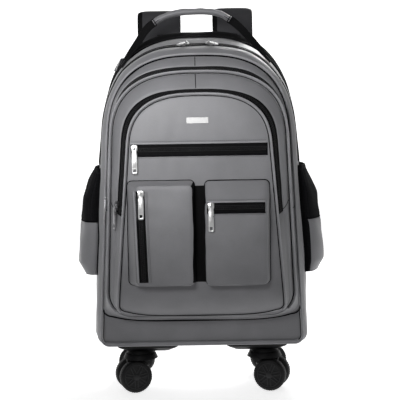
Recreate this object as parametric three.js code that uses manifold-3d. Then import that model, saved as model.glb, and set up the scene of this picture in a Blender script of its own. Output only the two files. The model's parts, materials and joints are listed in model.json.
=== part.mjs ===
import * as THREE from "three";
import { mergeVertices } from "three/addons/utils/BufferGeometryUtils.js";
import Module from "manifold-3d";

const wasm = await Module();
wasm.setup();

// A soft wheeled backpack. Millimetres: x to the right, y to the back, z up from the floor.

// Main sizes of the bag
const bodyWidth = 340;
const bodyHeight = 477;
const groundClearance = 76;
const backY = 92;
const rearDepth = 54;
const mainDepth = 93;
const middleDepth = 30;
const frontDepth = 30;
const pocketDepth = 25;
const cloth = 2.4;
const clearance = 0.3;
const facetGap = 0.1;

// Pipings, zips and their pulls
const pipingRadius = 1.6;
const pipingSides = 5;
const zipThickness = 1.4;
const mainZipWidth = 8;
const slipZipMargin = 8.9;
const slipZipHeight = 18;
const slipZipCentre = 0.632;
const nameplateWidth = 35;
const nameplateHeight = 12;
const nameplateThickness = 1.6;
const nameplateX = -2;
const nameplateCentre = 0.719;
const sliderWidth = 9;
const sliderLength = 13;
const sliderThickness = 3.2;
const tabWidth = 8;
const tabLength = 38;
const shortTabLength = 22;
const tabThickness = 1.6;
const tabHole = 2.6;
const tabCorner = 2;
const pullInset = 5.5;
const pullShare = 0.06;

// Patch pockets on the front
const pocketHeight = 152;
const pocketCorner = 7;
const leftPocketWidth = 98;
const rightPocketWidth = 94;
const pocketGap = 15;
const pocketFloor = 0.219;
const pocketZipWidth = 15;
const gapStart = -8;
const rightZipMargin = { near: 3, far: 8 };

// Side pockets
const sidePocketHeight = 165;
const sidePocketDepth = 100;
const sidePocketBulge = 28;
const sidePocketFloor = 0.22;
const meshShare = 0.5;
const sidePocketWall = 1.6;

// Back panel, pads and shoulder straps
const backPanelThickness = 5.5;
const backPanelInset = 1;
const backPanelEdge = 4;
const padThickness = 9;
const padWidth = 112;
const padHeight = 350;
const padFloor = 0.13;
const padGap = 44;
const padCorner = 26;
const padBevel = 8;
const leftStrapX = 62;
const leftStrapWidth = 70;
const rightStrapX = 57.5;
const rightStrapWidth = 65;
const strapSkew = 3;
const strapThickness = 11;
const strapRise = 42;
const strapFold = 24;
const webbingWidth = 25;
const webbingThickness = 1.8;
const buckleWidth = 34;
const buckleHeight = 26;
const buckleThickness = 5;
const buckleDrop = 3;
const buckleSlot = 4.4;
const webbingFloor = 0.06;
const webbingSpread = 24;

// Grab handle
const gripLength = 118;
const gripThickness = 9;
const gripDepth = 22;
const grabRise = 35;
const grabWebbing = 17;

// Telescopic handle
const tubeSpacing = 84;
const tubeWidth = 14;
const tubeDepth = 11;
const tubeWall = 1.3;
const tubeClearance = 0.4;
const handleWidth = 116;
const handleDepth = 16;
const handleHeight = 20;
const bezelHeight = 34;
const bezelWall = 2.5;
const bezelGap = 3;
const handleInset = 20;
const gripTopGap = 1;
const gripCorner = 5;

// Casters
const wheelDiameter = 50;
const wheelWidth = 15;
const wheelGap = 11;
const wheelSides = 24;
const discSides = 20;
const axleDiameter = 6;
const casterTrail = 12;
const casterYaw = 18;
const casterSideInset = 74;
const casterFrontInset = 29;
const casterRearInset = 30;
const casterBaseWidth = 96;
const casterBaseDepth = 52;
const casterBaseHeight = 12;
const casterBaseInset = 12;
const crownDiameter = 54;
const crownHeight = 8;
const crownTaper = 4;
const bossDiameter = 44;
const bossTaper = 3;
const bossHeight = 4;
const axleBoss = 18;
const wheelChamfer = 2.5;
const forkGap = 1;
const swivelGap = 0.6;

// Planes that the compartments meet in
const rearSeamY = backY - rearDepth;
const bodyFrontY = rearSeamY - mainDepth;
const middleFrontY = bodyFrontY - middleDepth;
const frontFaceY = middleFrontY - frontDepth;
const pocketFaceY = frontFaceY - pocketDepth;
const handleY = backY - handleInset;

// Outlines of the bag, a row for each seam. Widths are shares of half the body width, heights
// are shares of the body height above its bottom, and y is a real place. foot is how far the
// outline runs back at its bottom edge, starting from the knee height.
const outlineRows = {
  front: { y: frontFaceY, wide: 0.735, narrow: 0.625, bottom: 0.107, spring: 0.637, top: 0.797,
    corner: 12, rise: 13, foot: 25, knee: 0.214, power: 2.8 },
  middle: { y: middleFrontY, wide: 0.822, narrow: 0.757, bottom: 0.104, spring: 0.648, top: 0.866,
    corner: 38, rise: 0, foot: 0, knee: 0.26, power: 2.8 },
  middleBack: { y: bodyFrontY, wide: 0.89, narrow: 0.806, bottom: 0.078, spring: 0.648, top: 0.92,
    corner: 14, rise: 13, foot: 0, knee: 0.26, power: 2.8 },
};
// Outlines of the main body from its front edge to its back edge; y is a share of its depth.
const bodyRows = [
  { y: 0, wide: 0.897, narrow: 0.806, bottom: 0.004, spring: 0.648, top: 0.92, power: 2.8 },
  { y: 0.13, wide: 0.95, narrow: 0.855, bottom: 0, spring: 0.636, top: 0.938, power: 2.8 },
  { y: 0.31, wide: 0.985, narrow: 0.888, bottom: 0, spring: 0.62, top: 0.955, power: 2.8 },
  { y: 0.63, wide: 1, narrow: 0.902, bottom: 0, spring: 0.62, top: 0.983, power: 2.8 },
  { y: 0.72, wide: 0.998, narrow: 0.9, bottom: 0, spring: 0.62, top: 1, power: 3 },
  { y: 0.9, wide: 0.985, narrow: 0.885, bottom: 0, spring: 0.62, top: 0.999, power: 3 },
  { y: 1, wide: 0.95, narrow: 0.855, bottom: 0.01, spring: 0.62, top: 0.994, power: 3 },
];
const bodyCorner = 14;

const floorZ = groundClearance;
const heightAt = (share) => floorZ + bodyHeight * share;
const clamp = THREE.MathUtils.clamp;
const lerp = THREE.MathUtils.lerp;
const v3 = (x, y, z) => new THREE.Vector3(x, y, z);

// An outline as real lengths, from a row of shares
function sized(row) {
  return {
    ...row,
    wide: (row.wide * bodyWidth) / 2,
    narrow: (row.narrow * bodyWidth) / 2,
    bottom: heightAt(row.bottom),
    spring: heightAt(row.spring),
    top: heightAt(row.top),
    knee: heightAt(row.knee ?? 0),
    corner: row.corner ?? bodyCorner,
    rise: row.rise ?? 0,
    foot: row.foot ?? 0,
  };
}

const seams = Object.fromEntries(
  Object.entries(outlineRows).map(([name, row]) => [name, sized(row)]),
);
const bodyDepth = backY - bodyFrontY;
const bodySections = bodyRows.map((row) =>
  sized({ ...row, y: bodyFrontY + row.y * bodyDepth }),
);

// How far back an outline stands at height z
function seamY(seam, z) {
  if (!seam.foot) return seam.y;
  const below = clamp((seam.knee - z) / (seam.knee - seam.bottom), 0, 1);
  return seam.y + seam.foot * below * below;
}

const bottomShares = [0, 0.5, 0.8];
const cornerSteps = 2;
const sideSteps = 3;
const archSteps = 8;

// A seam outline as a closed ring: half of it from bottom centre to top centre, then its mirror
function ring(seam, inset = 0, back = 0) {
  const wide = seam.wide - inset;
  const corner = Math.max(seam.corner - inset, 1);
  const bottom = seam.bottom + inset;
  const rise = (x) => seam.rise * (x / wide) ** 5;
  const cornerZ = bottom + rise(wide - corner) + corner;
  const taper = (seam.wide - seam.narrow) / (seam.spring - seam.bottom);
  const half = (z) => wide - taper * (z - cornerZ);
  const points = bottomShares.map((share) => {
    const x = (wide - corner) * share;
    return [x, bottom + rise(x)];
  });
  for (let i = 0; i <= cornerSteps; i++) {
    const turn = ((i / cornerSteps) * Math.PI) / 2;
    points.push([wide - corner + corner * Math.sin(turn), cornerZ - corner * Math.cos(turn)]);
  }
  for (let i = 1; i <= sideSteps; i++) {
    const z = lerp(cornerZ, seam.spring, i / sideSteps);
    points.push([half(z), z]);
  }
  for (let i = 1; i < archSteps; i++) {
    const turn = ((i / archSteps) * Math.PI) / 2;
    const z = seam.spring + (seam.top - inset - seam.spring) * Math.sin(turn) ** (2 / seam.power);
    points.push([half(z) * Math.cos(turn) ** (2 / seam.power), z]);
  }
  const left = points.slice(1).reverse().map(([x, z]) => [-x, z]);
  const all = [...points, [0, seam.top - inset], ...left];
  return all.map(([x, z]) => v3(x, seamY(seam, z) + back, z));
}
const ringSize = ring(seams.front).length;
const cornerIndex = bottomShares.length + cornerSteps;

const mixRings = (a, b, share) => a.map((p, i) => p.clone().lerp(b[i], share));

// The ring of the main body at a depth y
function bodyRing(y, inset = 0) {
  const last = bodySections.length - 2;
  let i = bodySections.findIndex((section) => section.y > y) - 1;
  i = clamp(i < 0 && y > bodyFrontY ? last : i, 0, last);
  const [a, b] = [bodySections[i], bodySections[i + 1]];
  return mixRings(ring(a, inset), ring(b, inset), (y - a.y) / (b.y - a.y));
}

// The rings of a compartment's side from its face seam to the seam behind it, with the two
// edges of its zip between them: the zip is wider down the sides than over the top
function sideRings(face, back, zip) {
  const [front, rear] = [ring(face), ring(back, pipingRadius * 2, -clearance)];
  const mixAt = (shareAt) => front.map((p, i) => p.clone().lerp(rear[i], shareAt(i)));
  const high = (i) => Math.sin((Math.PI * i) / ringSize) ** 6;
  const far = mixAt((i) => lerp(zip.side, zip.top, high(i)));
  return [front, mixAt(() => zip.near), far, rear];
}

// How far out the side of a ring stands at height z
function sideAt(points, z) {
  const i = points.findIndex((p, k) => k > cornerIndex && p.z > z);
  const [a, b] = [points[i - 1], points[i]];
  return lerp(a.x, b.x, (z - a.z) / (b.z - a.z));
}

// A point between two points of a ring
function placeOn(points, place) {
  const i = Math.floor(place);
  return points[i % ringSize].clone().lerp(points[(i + 1) % ringSize], place - i);
}

// The point and outward normal of a surface given as neighbouring rings
function surfacePoint(rings, k, place) {
  const point = placeOn(rings[k], place);
  const along = placeOn(rings[k], place + 0.5).sub(placeOn(rings[k], place - 0.5));
  const [before, after] = [Math.max(k - 1, 0), Math.min(k + 1, rings.length - 1)];
  const across = placeOn(rings[after], place).sub(placeOn(rings[before], place));
  return { point, normal: across.cross(along).normalize() };
}

// A geometry from points and triangles, turned so that its faces point out
function closed(points, faces) {
  const volume = faces.reduce((sum, [a, b, c]) => {
    return sum + points[a].dot(points[b].clone().cross(points[c]));
  }, 0);
  const index = faces.flatMap(([a, b, c]) => (volume < 0 ? [a, c, b] : [a, b, c]));
  const geometry = new THREE.BufferGeometry().setFromPoints(points);
  geometry.setIndex(index);
  geometry.computeVertexNormals();
  return geometry;
}

// A skin over a row of rings: capped with a fan at both ends, or closed round on itself
function skin(rings, { loop = false, start = null, end = null } = {}) {
  const count = rings[0].length;
  const points = rings.flat();
  const faces = [];
  const steps = loop ? rings.length : rings.length - 1;
  for (let r = 0; r < steps; r++) {
    for (let i = 0; i < count; i++) {
      const j = (i + 1) % count;
      const [a, b] = [r * count + i, r * count + j];
      const next = (r + 1) % rings.length;
      const [c, d] = [next * count + i, next * count + j];
      faces.push([a, b, d], [a, d, c]);
    }
  }
  if (!loop) {
    const middle = (list) => {
      return list.reduce((sum, p) => sum.add(p), v3(0, 0, 0)).divideScalar(count);
    };
    const last = (rings.length - 1) * count;
    points.push(start ?? middle(rings[0]), end ?? middle(rings.at(-1)));
    for (let i = 0; i < count; i++) {
      const j = (i + 1) % count;
      faces.push([points.length - 2, j, i], [points.length - 1, last + i, last + j]);
    }
  }
  return closed(points, faces);
}

function bareMerged(geometry) {
  const bare = new THREE.BufferGeometry();
  bare.setAttribute("position", geometry.getAttribute("position"));
  bare.setIndex(geometry.index);
  return mergeVertices(bare, 1e-4);
}

// A closed solid from a geometry, and back, for cuts and joins
function toSolid(geometry) {
  const merged = bareMerged(geometry);
  return new wasm.Manifold(
    new wasm.Mesh({
      numProp: 3,
      vertProperties: merged.attributes.position.array,
      triVerts: new Uint32Array(merged.index.array),
    }),
  );
}

function toGeometry(solid) {
  const mesh = solid.getMesh();
  const geometry = new THREE.BufferGeometry();
  geometry.setAttribute("position", new THREE.BufferAttribute(mesh.vertProperties, 3));
  geometry.setIndex(new THREE.BufferAttribute(mesh.triVerts, 1));
  geometry.computeVertexNormals();
  return geometry;
}

const join = (...list) => toGeometry(list.map(toSolid).reduce((sum, part) => sum.add(part)));
const cut = (from, ...list) => {
  return toGeometry(list.map(toSolid).reduce((left, part) => left.subtract(part), toSolid(from)));
};

function boxBetween(low, high) {
  const size = high.clone().sub(low);
  const middle = high.clone().add(low).multiplyScalar(0.5);
  return new THREE.BoxGeometry(size.x, size.y, size.z).translate(middle.x, middle.y, middle.z);
}

// A rounded rectangle in the plane y, as a ring of points
function roundedRing(x0, x1, z0, z1, radius, y, steps = 2) {
  const corners = [
    [x1 - radius, z0 + radius, -1],
    [x1 - radius, z1 - radius, 0],
    [x0 + radius, z1 - radius, 1],
    [x0 + radius, z0 + radius, 2],
  ];
  return corners.flatMap(([x, z, quarter]) => {
    return Array.from({ length: steps + 1 }, (_, i) => {
      const turn = ((quarter + i / steps) * Math.PI) / 2;
      const at = z + radius * Math.sin(turn);
      return v3(x + radius * Math.cos(turn), typeof y === "function" ? y(at) : y, at);
    });
  });
}

const colours = {
  cloth: { color: 0x8d8e93, roughness: 0.6 },
  darkCloth: { color: 0x56575b, roughness: 0.75 },
  black: { color: 0x17171a, roughness: 0.8 },
  mesh: { color: 0x202024, roughness: 0.9 },
  chrome: { color: 0xd0d0d2, roughness: 0.25, metalness: 1 },
  plastic: { color: 0x1c1c1f, roughness: 0.45 },
  wheel: { color: 0x26262a, roughness: 0.6 },
  aluminium: { color: 0xb5b7ba, roughness: 0.35, metalness: 1 },
};
const materials = Object.fromEntries(
  Object.entries(colours).map(([name, look]) => [name, new THREE.MeshStandardMaterial(look)]),
);

const backpack = new THREE.Group();
function add(name, geometry, material, parent = backpack) {
  const mesh = new THREE.Mesh(geometry, material);
  mesh.name = name;
  parent.add(mesh);
  return mesh;
}

// A hollow shell from outer and inner rings, listed from the closed face to the open rim
function dish(outer, inner) {
  const flat = (list) => list.reduce((sum, p) => sum.add(p), v3(0, 0, 0)).divideScalar(list.length);
  return skin([...outer, ...inner.reverse()], { start: flat(outer[0]), end: flat(inner.at(-1)) });
}

// Rings that carry the face of a compartment from its edge to near its middle
const faceShares = [0.4, 0.82];
function faceRings(seam, inset, back) {
  const edge = ring(seam, inset, back);
  const middle = v3(0, 0, (seam.bottom + seam.top) / 2);
  return faceShares.map((share) => {
    return edge.map((p) => {
      const z = lerp(middle.z, p.z, share);
      return v3(p.x * share, seamY(seam, z) + back, z);
    });
  });
}

// A compartment: a dish from its face seam back to the seam behind it
function compartment(face, back, side) {
  const outer = [...faceRings(face, 0, 0), ...side];
  const inner = [
    ...faceRings(face, cloth, cloth),
    ring(face, cloth, cloth),
    ring(back, pipingRadius * 2 + cloth, -clearance),
  ];
  return dish(outer, inner);
}

function mainBody() {
  const rings = (inset, shift) => {
    return bodySections.map((section, i) => ring(section, inset, i === 0 ? shift : 0));
  };
  const face = bodySections[0];
  const outer = [...faceRings(face, 0, 0), ...rings(0, 0)];
  const inner = [...faceRings(face, cloth, cloth), ...rings(cloth, cloth)];
  return cut(dish(outer, inner), bezelCutter());
}

// Piping: a thin cord just outside a seam; an open one ends at the bottom corners
function piping(rings, whole) {
  const first = whole ? 0 : cornerIndex - 1;
  const last = whole ? ringSize - 1 : ringSize - cornerIndex + 1;
  const sections = [];
  for (let i = first; i <= last; i++) {
    const before = rings[(i - 1 + ringSize) % ringSize];
    const after = rings[(i + 1) % ringSize];
    const along = after.clone().sub(before).normalize();
    const side = along.clone().cross(v3(0, 1, 0)).normalize();
    const up = side.clone().cross(along);
    sections.push(
      Array.from({ length: pipingSides }, (_, k) => {
        const turn = (k / pipingSides) * 2 * Math.PI;
        return rings[i]
          .clone()
          .addScaledVector(side, pipingRadius * Math.cos(turn))
          .addScaledVector(up, pipingRadius * Math.sin(turn));
      }),
    );
  }
  return skin(sections, { loop: whole });
}

const pipingOffset = pipingRadius + clearance + facetGap;
// The cord stands off its seam outwards and forwards, as shares of its distance
const pipingOut = 0.6;
const pipingForward = 0.8;
const seamPiping = (seam, whole) => {
  return piping(ring(seam, -pipingOut * pipingOffset, -pipingForward * pipingOffset), whole);
};

// A band lying on a surface of rings, from one place round the ring to another
function band(rings, first, last) {
  const places = [first];
  for (let i = Math.floor(first) + 1; i < last; i++) places.push(i);
  places.push(last);
  const rows = places.map((place) => {
    const edge = rings.map((_, k) => surfacePoint(rings, k, place));
    const lifted = (by) => edge.map(({ point, normal }) => point.clone().addScaledVector(normal, by));
    return [...lifted(bandLift), ...lifted(bandLift + zipThickness).reverse()];
  });
  return skin(rows);
}

const bandLift = clearance + 1.5 * facetGap;
const topIndex = ringSize / 2;
// The two front zips end over half way down their sides, above a short seam
const zipEndShare = 0.57;
const zipFirst = cornerIndex + sideSteps * zipEndShare;
const zipLast = ringSize - zipFirst;
// The two zips of the main body end just above the side pockets
const bodyZipShare = 0.93;
const bodyZipFirst = cornerIndex + sideSteps * bodyZipShare;
const bodyZipLast = ringSize - bodyZipFirst;
const mainZipRings = [-0.5, 0, 0.5].map((share) => {
  return bodyRing(bodySections[2].y + share * mainZipWidth);
});
const rearZipRings = [bodyRing(bodySections[3].y), bodyRing(bodySections[4].y)];
// Where the edges of a front zip lie, as shares of the way from its face seam to the seam behind
const frontZipEdges = { near: 0.1, side: 0.52, top: 0.3 };
const middleZipEdges = { near: 0.1, side: 0.42, top: 0.28 };
const frontSide = sideRings(seams.front, seams.middle, frontZipEdges);
const middleSide = sideRings(seams.middle, seams.middleBack, middleZipEdges);

function compartmentPieces() {
  const { front, middle, middleBack } = seams;
  add("main_body", mainBody(), materials.cloth);
  add("main_piping", seamPiping(bodySections[0], true), materials.darkCloth);
  add("middle_compartment", compartment(middle, middleBack, middleSide), materials.cloth);
  add("middle_piping", seamPiping(middle, false), materials.darkCloth);
  add("front_compartment", compartment(front, middle, frontSide), materials.cloth);
  add("front_piping", seamPiping(front, false), materials.darkCloth);
  add("front_zip", band(frontSide.slice(1, 3), zipFirst, zipLast), materials.black);
  add("middle_zip", band(middleSide.slice(1, 3), zipFirst, zipLast), materials.black);
  add("main_zip", band(mainZipRings, bodyZipFirst, bodyZipLast), materials.black);
  add("rear_zip", band(rearZipRings, bodyZipFirst, bodyZipLast), materials.black);
}

// Patch pockets: dishes on the front face, with the edges that the rows give. x runs from the
// middle of the bag, z from the pocket's floor, and slope is how far the face stands in.
const pocketRows = {
  left: { x0: gapStart - leftPocketWidth, x1: gapStart, slope: { x0: 14, x1: 4, z0: 2, z1: 6 } },
  right: { x0: gapStart + pocketGap, x1: gapStart + pocketGap + rightPocketWidth,
    slope: { x0: 1, x1: 6, z0: 2, z1: 30 } },
};
const pocketBottom = heightAt(pocketFloor);

function pocketRing(row, sloped, inset, y) {
  const s = sloped ? row.slope : { x0: 0, x1: 0, z0: 0, z1: 0 };
  return roundedRing(
    row.x0 + s.x0 + inset,
    row.x1 - s.x1 - inset,
    pocketBottom + s.z0 + inset,
    pocketBottom + pocketHeight - s.z1 - inset,
    Math.max(pocketCorner - inset, 2),
    y,
  );
}

function pocket(row) {
  const rim = (z) => seamY(seams.front, z) - clearance;
  const outer = [pocketRing(row, true, 0, pocketFaceY), pocketRing(row, false, 0, rim)];
  const inner = [
    pocketRing(row, true, cloth, pocketFaceY + cloth),
    pocketRing(row, false, cloth, rim),
  ];
  return dish(outer, inner);
}

function plate(x0, x1, z0, z1, radius, front, thickness) {
  return skin([
    roundedRing(x0, x1, z0, z1, radius, front),
    roundedRing(x0, x1, z0, z1, radius, front + thickness),
  ]);
}

const faceZipY = (plane) => plane - clearance - zipThickness;
const slipZ = heightAt(slipZipCentre);
const slipZipReach = sideAt(ring(seams.front), slipZ) - slipZipMargin;
const plateCorner = 2;

function frontPieces() {
  add("left_pocket", pocket(pocketRows.left), materials.cloth);
  add("right_pocket", pocket(pocketRows.right), materials.cloth);

  const left = pocketRows.left;
  const zipX = left.x0 + left.slope.x0 + clearance;
  const zipTop = pocketBottom + pocketHeight - left.slope.z1 - pocketCorner;
  const zipPlate = (x0, x1, z0, z1) => {
    return plate(x0, x1, z0, z1, pocketZipWidth / 6, faceZipY(pocketFaceY), zipThickness);
  };
  add("left_pocket_zip",
    zipPlate(zipX, zipX + pocketZipWidth, pocketBottom + pocketCorner, zipTop), materials.black);

  const right = pocketRows.right;
  const rightTop = pocketBottom + pocketHeight - right.slope.z1 - clearance;
  const [zipNear, zipFar] = [right.x0 + rightZipMargin.near, right.x1 - rightZipMargin.far];
  add("right_pocket_zip",
    zipPlate(zipNear, zipFar, rightTop - pocketZipWidth, rightTop), materials.black);

  add("slip_zip", plate(-slipZipReach, slipZipReach, slipZ - slipZipHeight / 2,
    slipZ + slipZipHeight / 2, plateCorner, faceZipY(frontFaceY), zipThickness), materials.black);

  const plateZ = heightAt(nameplateCentre);
  add("nameplate", plate(nameplateX - nameplateWidth / 2, nameplateX + nameplateWidth / 2,
    plateZ - nameplateHeight / 2, plateZ + nameplateHeight / 2, plateCorner,
    frontFaceY - clearance - nameplateThickness, nameplateThickness), materials.chrome);
}

// Side pockets: out is the bulge as a share, at heights from the floor to the top edge
const sidePocketRows = [
  { z: 0, out: 0.62 },
  { z: 0.1, out: 0.98 },
  { z: 0.3, out: 1 },
  { z: 0.5, out: 0.95 },
  { z: 0.72, out: 0.82 },
  { z: 0.88, out: 0.62 },
  { z: 1, out: 0.38 },
];
const sidePocketSteps = 8;
const pouchGap = clearance * 3;
const seamThickness = 1.2;
const sidePocketZ = heightAt(sidePocketFloor);
const sidePocketY = lerp(bodyFrontY, backY, 0.55);

const bodySide = (y, z) => sideAt(bodyRing(y), z);

function sidePocketRing(side, z, out, inset, reach) {
  const points = [];
  for (let i = 0; i <= sidePocketSteps; i++) {
    const turn = (i / sidePocketSteps) * Math.PI;
    const half = sidePocketDepth / 2 - inset;
    const y = sidePocketY - half * Math.cos(turn);
    const bulge = Math.max(sidePocketBulge * out - inset, 1) * Math.sin(turn) ** 0.6;
    points.push(v3(side * (bodySide(y, z) + reach + bulge), y, z));
  }
  const back = points.slice().reverse();
  return [...points, ...back.map((p) => {
    const through = inset ? 3 * seamThickness : seamThickness;
    return v3(side * (bodySide(p.y, z) + reach - through), p.y, z);
  })];
}

function sidePouch(side, from, to, floor) {
  const rows = sidePocketRows.filter((row) => row.z > from && row.z < to);
  const outAt = (share) => {
    const i = clamp(sidePocketRows.findIndex((row) => row.z >= share), 1, sidePocketRows.length);
    const [a, b] = [sidePocketRows[i - 1], sidePocketRows[i]];
    return lerp(a.out, b.out, (share - a.z) / (b.z - a.z));
  };
  const shares = [from, ...rows.map((row) => row.z), to];
  const z = (share) => sidePocketZ + sidePocketHeight * share;
  const reach = pouchGap + seamThickness;
  const outer = shares.map((share) => sidePocketRing(side, z(share), outAt(share), 0, reach));
  const inner = shares.map((share) => {
    return sidePocketRing(side, z(share), outAt(share), sidePocketWall, reach);
  });
  const bottom = floor ? sidePocketWall : -1;
  inner[0].forEach((p) => (p.z += bottom));
  inner.at(-1).forEach((p) => (p.z += 1));
  return cut(skin(outer), skin(inner));
}

function sidePockets() {
  for (const [name, side] of [["left", -1], ["right", 1]]) {
    const seam = clearance / sidePocketHeight;
    add(`side_pocket_${name}`, sidePouch(side, 0, meshShare - seam / 2, true), materials.cloth);
    add(`side_mesh_${name}`, sidePouch(side, meshShare + seam / 2, 1, false), materials.mesh);
  }
}

// A strap along a row of places, each with its normal, width, thickness and at times its direction
function strap(rows, chamfer) {
  const rings = rows.map((row, i) => {
    const before = rows[Math.max(i - 1, 0)].at;
    const after = rows[Math.min(i + 1, rows.length - 1)].at;
    const along = row.along ?? after.clone().sub(before).normalize();
    const across = row.normal.clone().cross(along).normalize();
    const up = along.clone().cross(across);
    const [w, t] = [row.width / 2, row.thickness / 2];
    const c = chamfer * t;
    const corners = chamfer
      ? [[w - c, -t], [w, c - t], [w, t - c], [w - c, t], [c - w, t], [-w, t - c], [-w, c - t], [c - w, -t]]
      : [[w, -t], [w, t], [-w, t], [-w, -t]];
    return corners.map(([a, b]) => row.at.clone().addScaledVector(across, a).addScaledVector(up, b));
  });
  return skin(rings);
}

const panelBack = backY + clearance + backPanelThickness;
const padBack = panelBack + clearance + padThickness;

function backPieces() {
  const edge = bodySections.at(-1);
  const outer = ring(edge, backPanelInset).map((p) => p.setY(backY + clearance));
  const inner = ring(edge, backPanelInset + backPanelEdge).map((p) => p.setY(panelBack));
  add("back_panel", skin([outer, inner]), materials.darkCloth);
  for (const [name, side] of [["left", -1], ["right", 1]]) {
    const [x0, x1] = [padGap / 2, padGap / 2 + padWidth].map((x) => side * x);
    const [low, high] = [Math.min(x0, x1), Math.max(x0, x1)];
    const z0 = heightAt(padFloor);
    const rings = [[0, 0], [0, 0.6], [padBevel, 1]].map(([inset, share]) => {
      return roundedRing(low + inset, high - inset, z0 + inset, z0 + padHeight - inset,
        padCorner - inset, panelBack + clearance + padThickness * share);
    });
    add(`back_pad_${name}`, skin(rings), materials.mesh);
  }
}

// Shoulder straps, drawn as they hang: x outwards from the bag's middle and z up from the top
// edge of the back, both as shares of the strap's own lengths, and back as a share of the fold.
const strapSides = [
  { name: "left", side: -1, x: leftStrapX, width: leftStrapWidth, lift: -strapSkew / 2 },
  { name: "right", side: 1, x: rightStrapX, width: rightStrapWidth, lift: strapSkew / 2 },
];
const strapRows = [
  { x: 0, back: 0, z: -1.05, width: 1 },
  { x: 0, back: 0, z: -0.2, width: 1 },
  { x: 0, back: 0, z: 0.55, width: 1 },
  { x: 0, back: 0.12, z: 0.78, width: 1 },
  { x: 0, back: 0.5, z: 0.93, width: 1 },
  { x: 0, back: 0.88, z: 0.78, width: 1 },
  { x: 0, back: 1, z: 0.45, width: 1 },
  { x: 0.03, back: 0.94, z: -0.6, width: 0.97 },
  { x: 0.12, back: 0.78, z: -2, width: 0.92 },
  { x: 0.24, back: 0.74, z: -3.6, width: 0.88 },
  { x: 0.34, back: 0.74, z: -5, width: 0.8 },
  { x: 0.42, back: 0.74, z: -6.2, width: 0.68 },
  { x: 0.47, back: 0.74, z: -7.2, width: 0.56 },
];

function strapPlaces(entry) {
  const top = heightAt(bodyRows.at(-1).top);
  const startY = panelBack + clearance + strapThickness / 2;
  return strapRows.map((row) => {
    const x = entry.side * (entry.x + row.x * entry.width);
    const y = startY + strapFold * row.back;
    return v3(x, y, top + entry.lift + strapRise * row.z);
  });
}

function shoulderStraps() {
  for (const entry of strapSides) {
    const places = strapPlaces(entry);
    const rows = places.map((at, i) => {
      const before = places[Math.max(i - 1, 0)];
      const after = places[Math.min(i + 1, places.length - 1)];
      const along = after.clone().sub(before).setX(0).normalize();
      const normal = v3(1, 0, 0).cross(along).multiplyScalar(-1);
      return { at, normal, width: entry.width * strapRows[i].width, thickness: strapThickness };
    });
    add(`shoulder_strap_${entry.name}`, strap(rows, 0.5), materials.darkCloth);

    const end = places.at(-1);
    const buckleTop = end.z - buckleDrop;
    const buckleX = end.x;
    const frame = boxBetween(
      v3(buckleX - buckleWidth / 2, end.y - buckleThickness / 2, buckleTop - buckleHeight),
      v3(buckleX + buckleWidth / 2, end.y + buckleThickness / 2, buckleTop),
    );
    const slot = (z) => boxBetween(
      v3(buckleX - webbingWidth / 2 - 1, end.y - buckleThickness, z - buckleSlot / 2),
      v3(buckleX + webbingWidth / 2 + 1, end.y + buckleThickness, z + buckleSlot / 2),
    );
    add(`strap_buckle_${entry.name}`,
      cut(frame, slot(buckleTop - buckleHeight * 0.3), slot(buckleTop - buckleHeight * 0.75)),
      materials.plastic);

    const webY = end.y - buckleThickness / 2 - clearance - webbingThickness / 2;
    const low = heightAt(webbingFloor);
    const rowAt = (x, y, z) => ({ at: v3(x, y, z), normal: v3(0, 1, 0), width: webbingWidth,
      thickness: webbingThickness });
    const away = entry.side * webbingSpread;
    add(`strap_webbing_${entry.name}`, strap([
      rowAt(buckleX, webY, buckleTop - 2),
      rowAt(buckleX, webY, buckleTop - buckleHeight * 1.25),
      rowAt(lerp(buckleX, buckleX + away, 0.5), webY, lerp(buckleTop - buckleHeight, low, 0.5)),
      rowAt(buckleX + away * 0.9, panelBack + clearance * 3 + webbingThickness, low + webbingWidth / 2),
      rowAt(buckleX + away, panelBack + clearance + webbingThickness / 2, low),
    ], 0), materials.black);
  }
}

// Grab handle over the top of the bag. x is a share of half the grip, z a share of its rise.
const gripRows = [
  { x: -1, z: 0.55 },
  { x: -0.78, z: 0.78 },
  { x: -0.45, z: 0.95 },
  { x: 0, z: 1.02 },
  { x: 0.45, z: 1 },
  { x: 0.78, z: 0.88 },
  { x: 1, z: 0.65 },
];
const gripCentreX = -8;
const grabY = lerp(bodyFrontY, backY, 0.442);
const grabBase = 0.988;
// How many steps of the outline from its top each webbing is sewn on, and how far it stands off
const grabReach = { left: 4.35, right: 4.1 };
const grabStandoff = 2.4;

function grabHandle() {
  const base = heightAt(grabBase);
  const half = gripLength / 2;
  const places = gripRows.map((row) => {
    return v3(gripCentreX + half * row.x, grabY, base + grabRise * row.z);
  });
  const rows = places.map((at) => {
    return { at, normal: v3(0, 0, 1), width: gripDepth, thickness: gripThickness };
  });
  add("grab_grip", strap(rows, 0.6), materials.cloth);

  for (const [name, side] of [["left", -1], ["right", 1]]) {
    const tip = side < 0 ? places[0] : places.at(-1);
    const next = side < 0 ? places[1] : places.at(-2);
    const out = tip.clone().sub(next).normalize();
    const start = tip.clone().addScaledVector(out, clearance + facetGap);
    const place = topIndex - side * (side < 0 ? grabReach.left : grabReach.right);
    const foot = surfacePoint(mainZipRings, 1, place);
    const end = foot.point.clone().addScaledVector(foot.normal, webbingThickness + grabStandoff);
    const face = v3(0, -1, 0.15).normalize();
    const row = (at, normal, along) => {
      return { at, normal, along, width: grabWebbing, thickness: webbingThickness };
    };
    const bow = grabWebbing / 3;
    const bend = start.clone().lerp(end, 0.55).add(v3((side * bow) / 2, 0, bow));
    add(`grab_strap_${name}`, strap([
      row(start, face, out),
      row(start.clone().addScaledVector(out, grabWebbing / 2), face, out),
      row(bend, face.clone().lerp(foot.normal, 0.25).normalize()),
      row(end, face.clone().lerp(foot.normal, 0.8).normalize()),
    ], 0), materials.black);
  }
}

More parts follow.
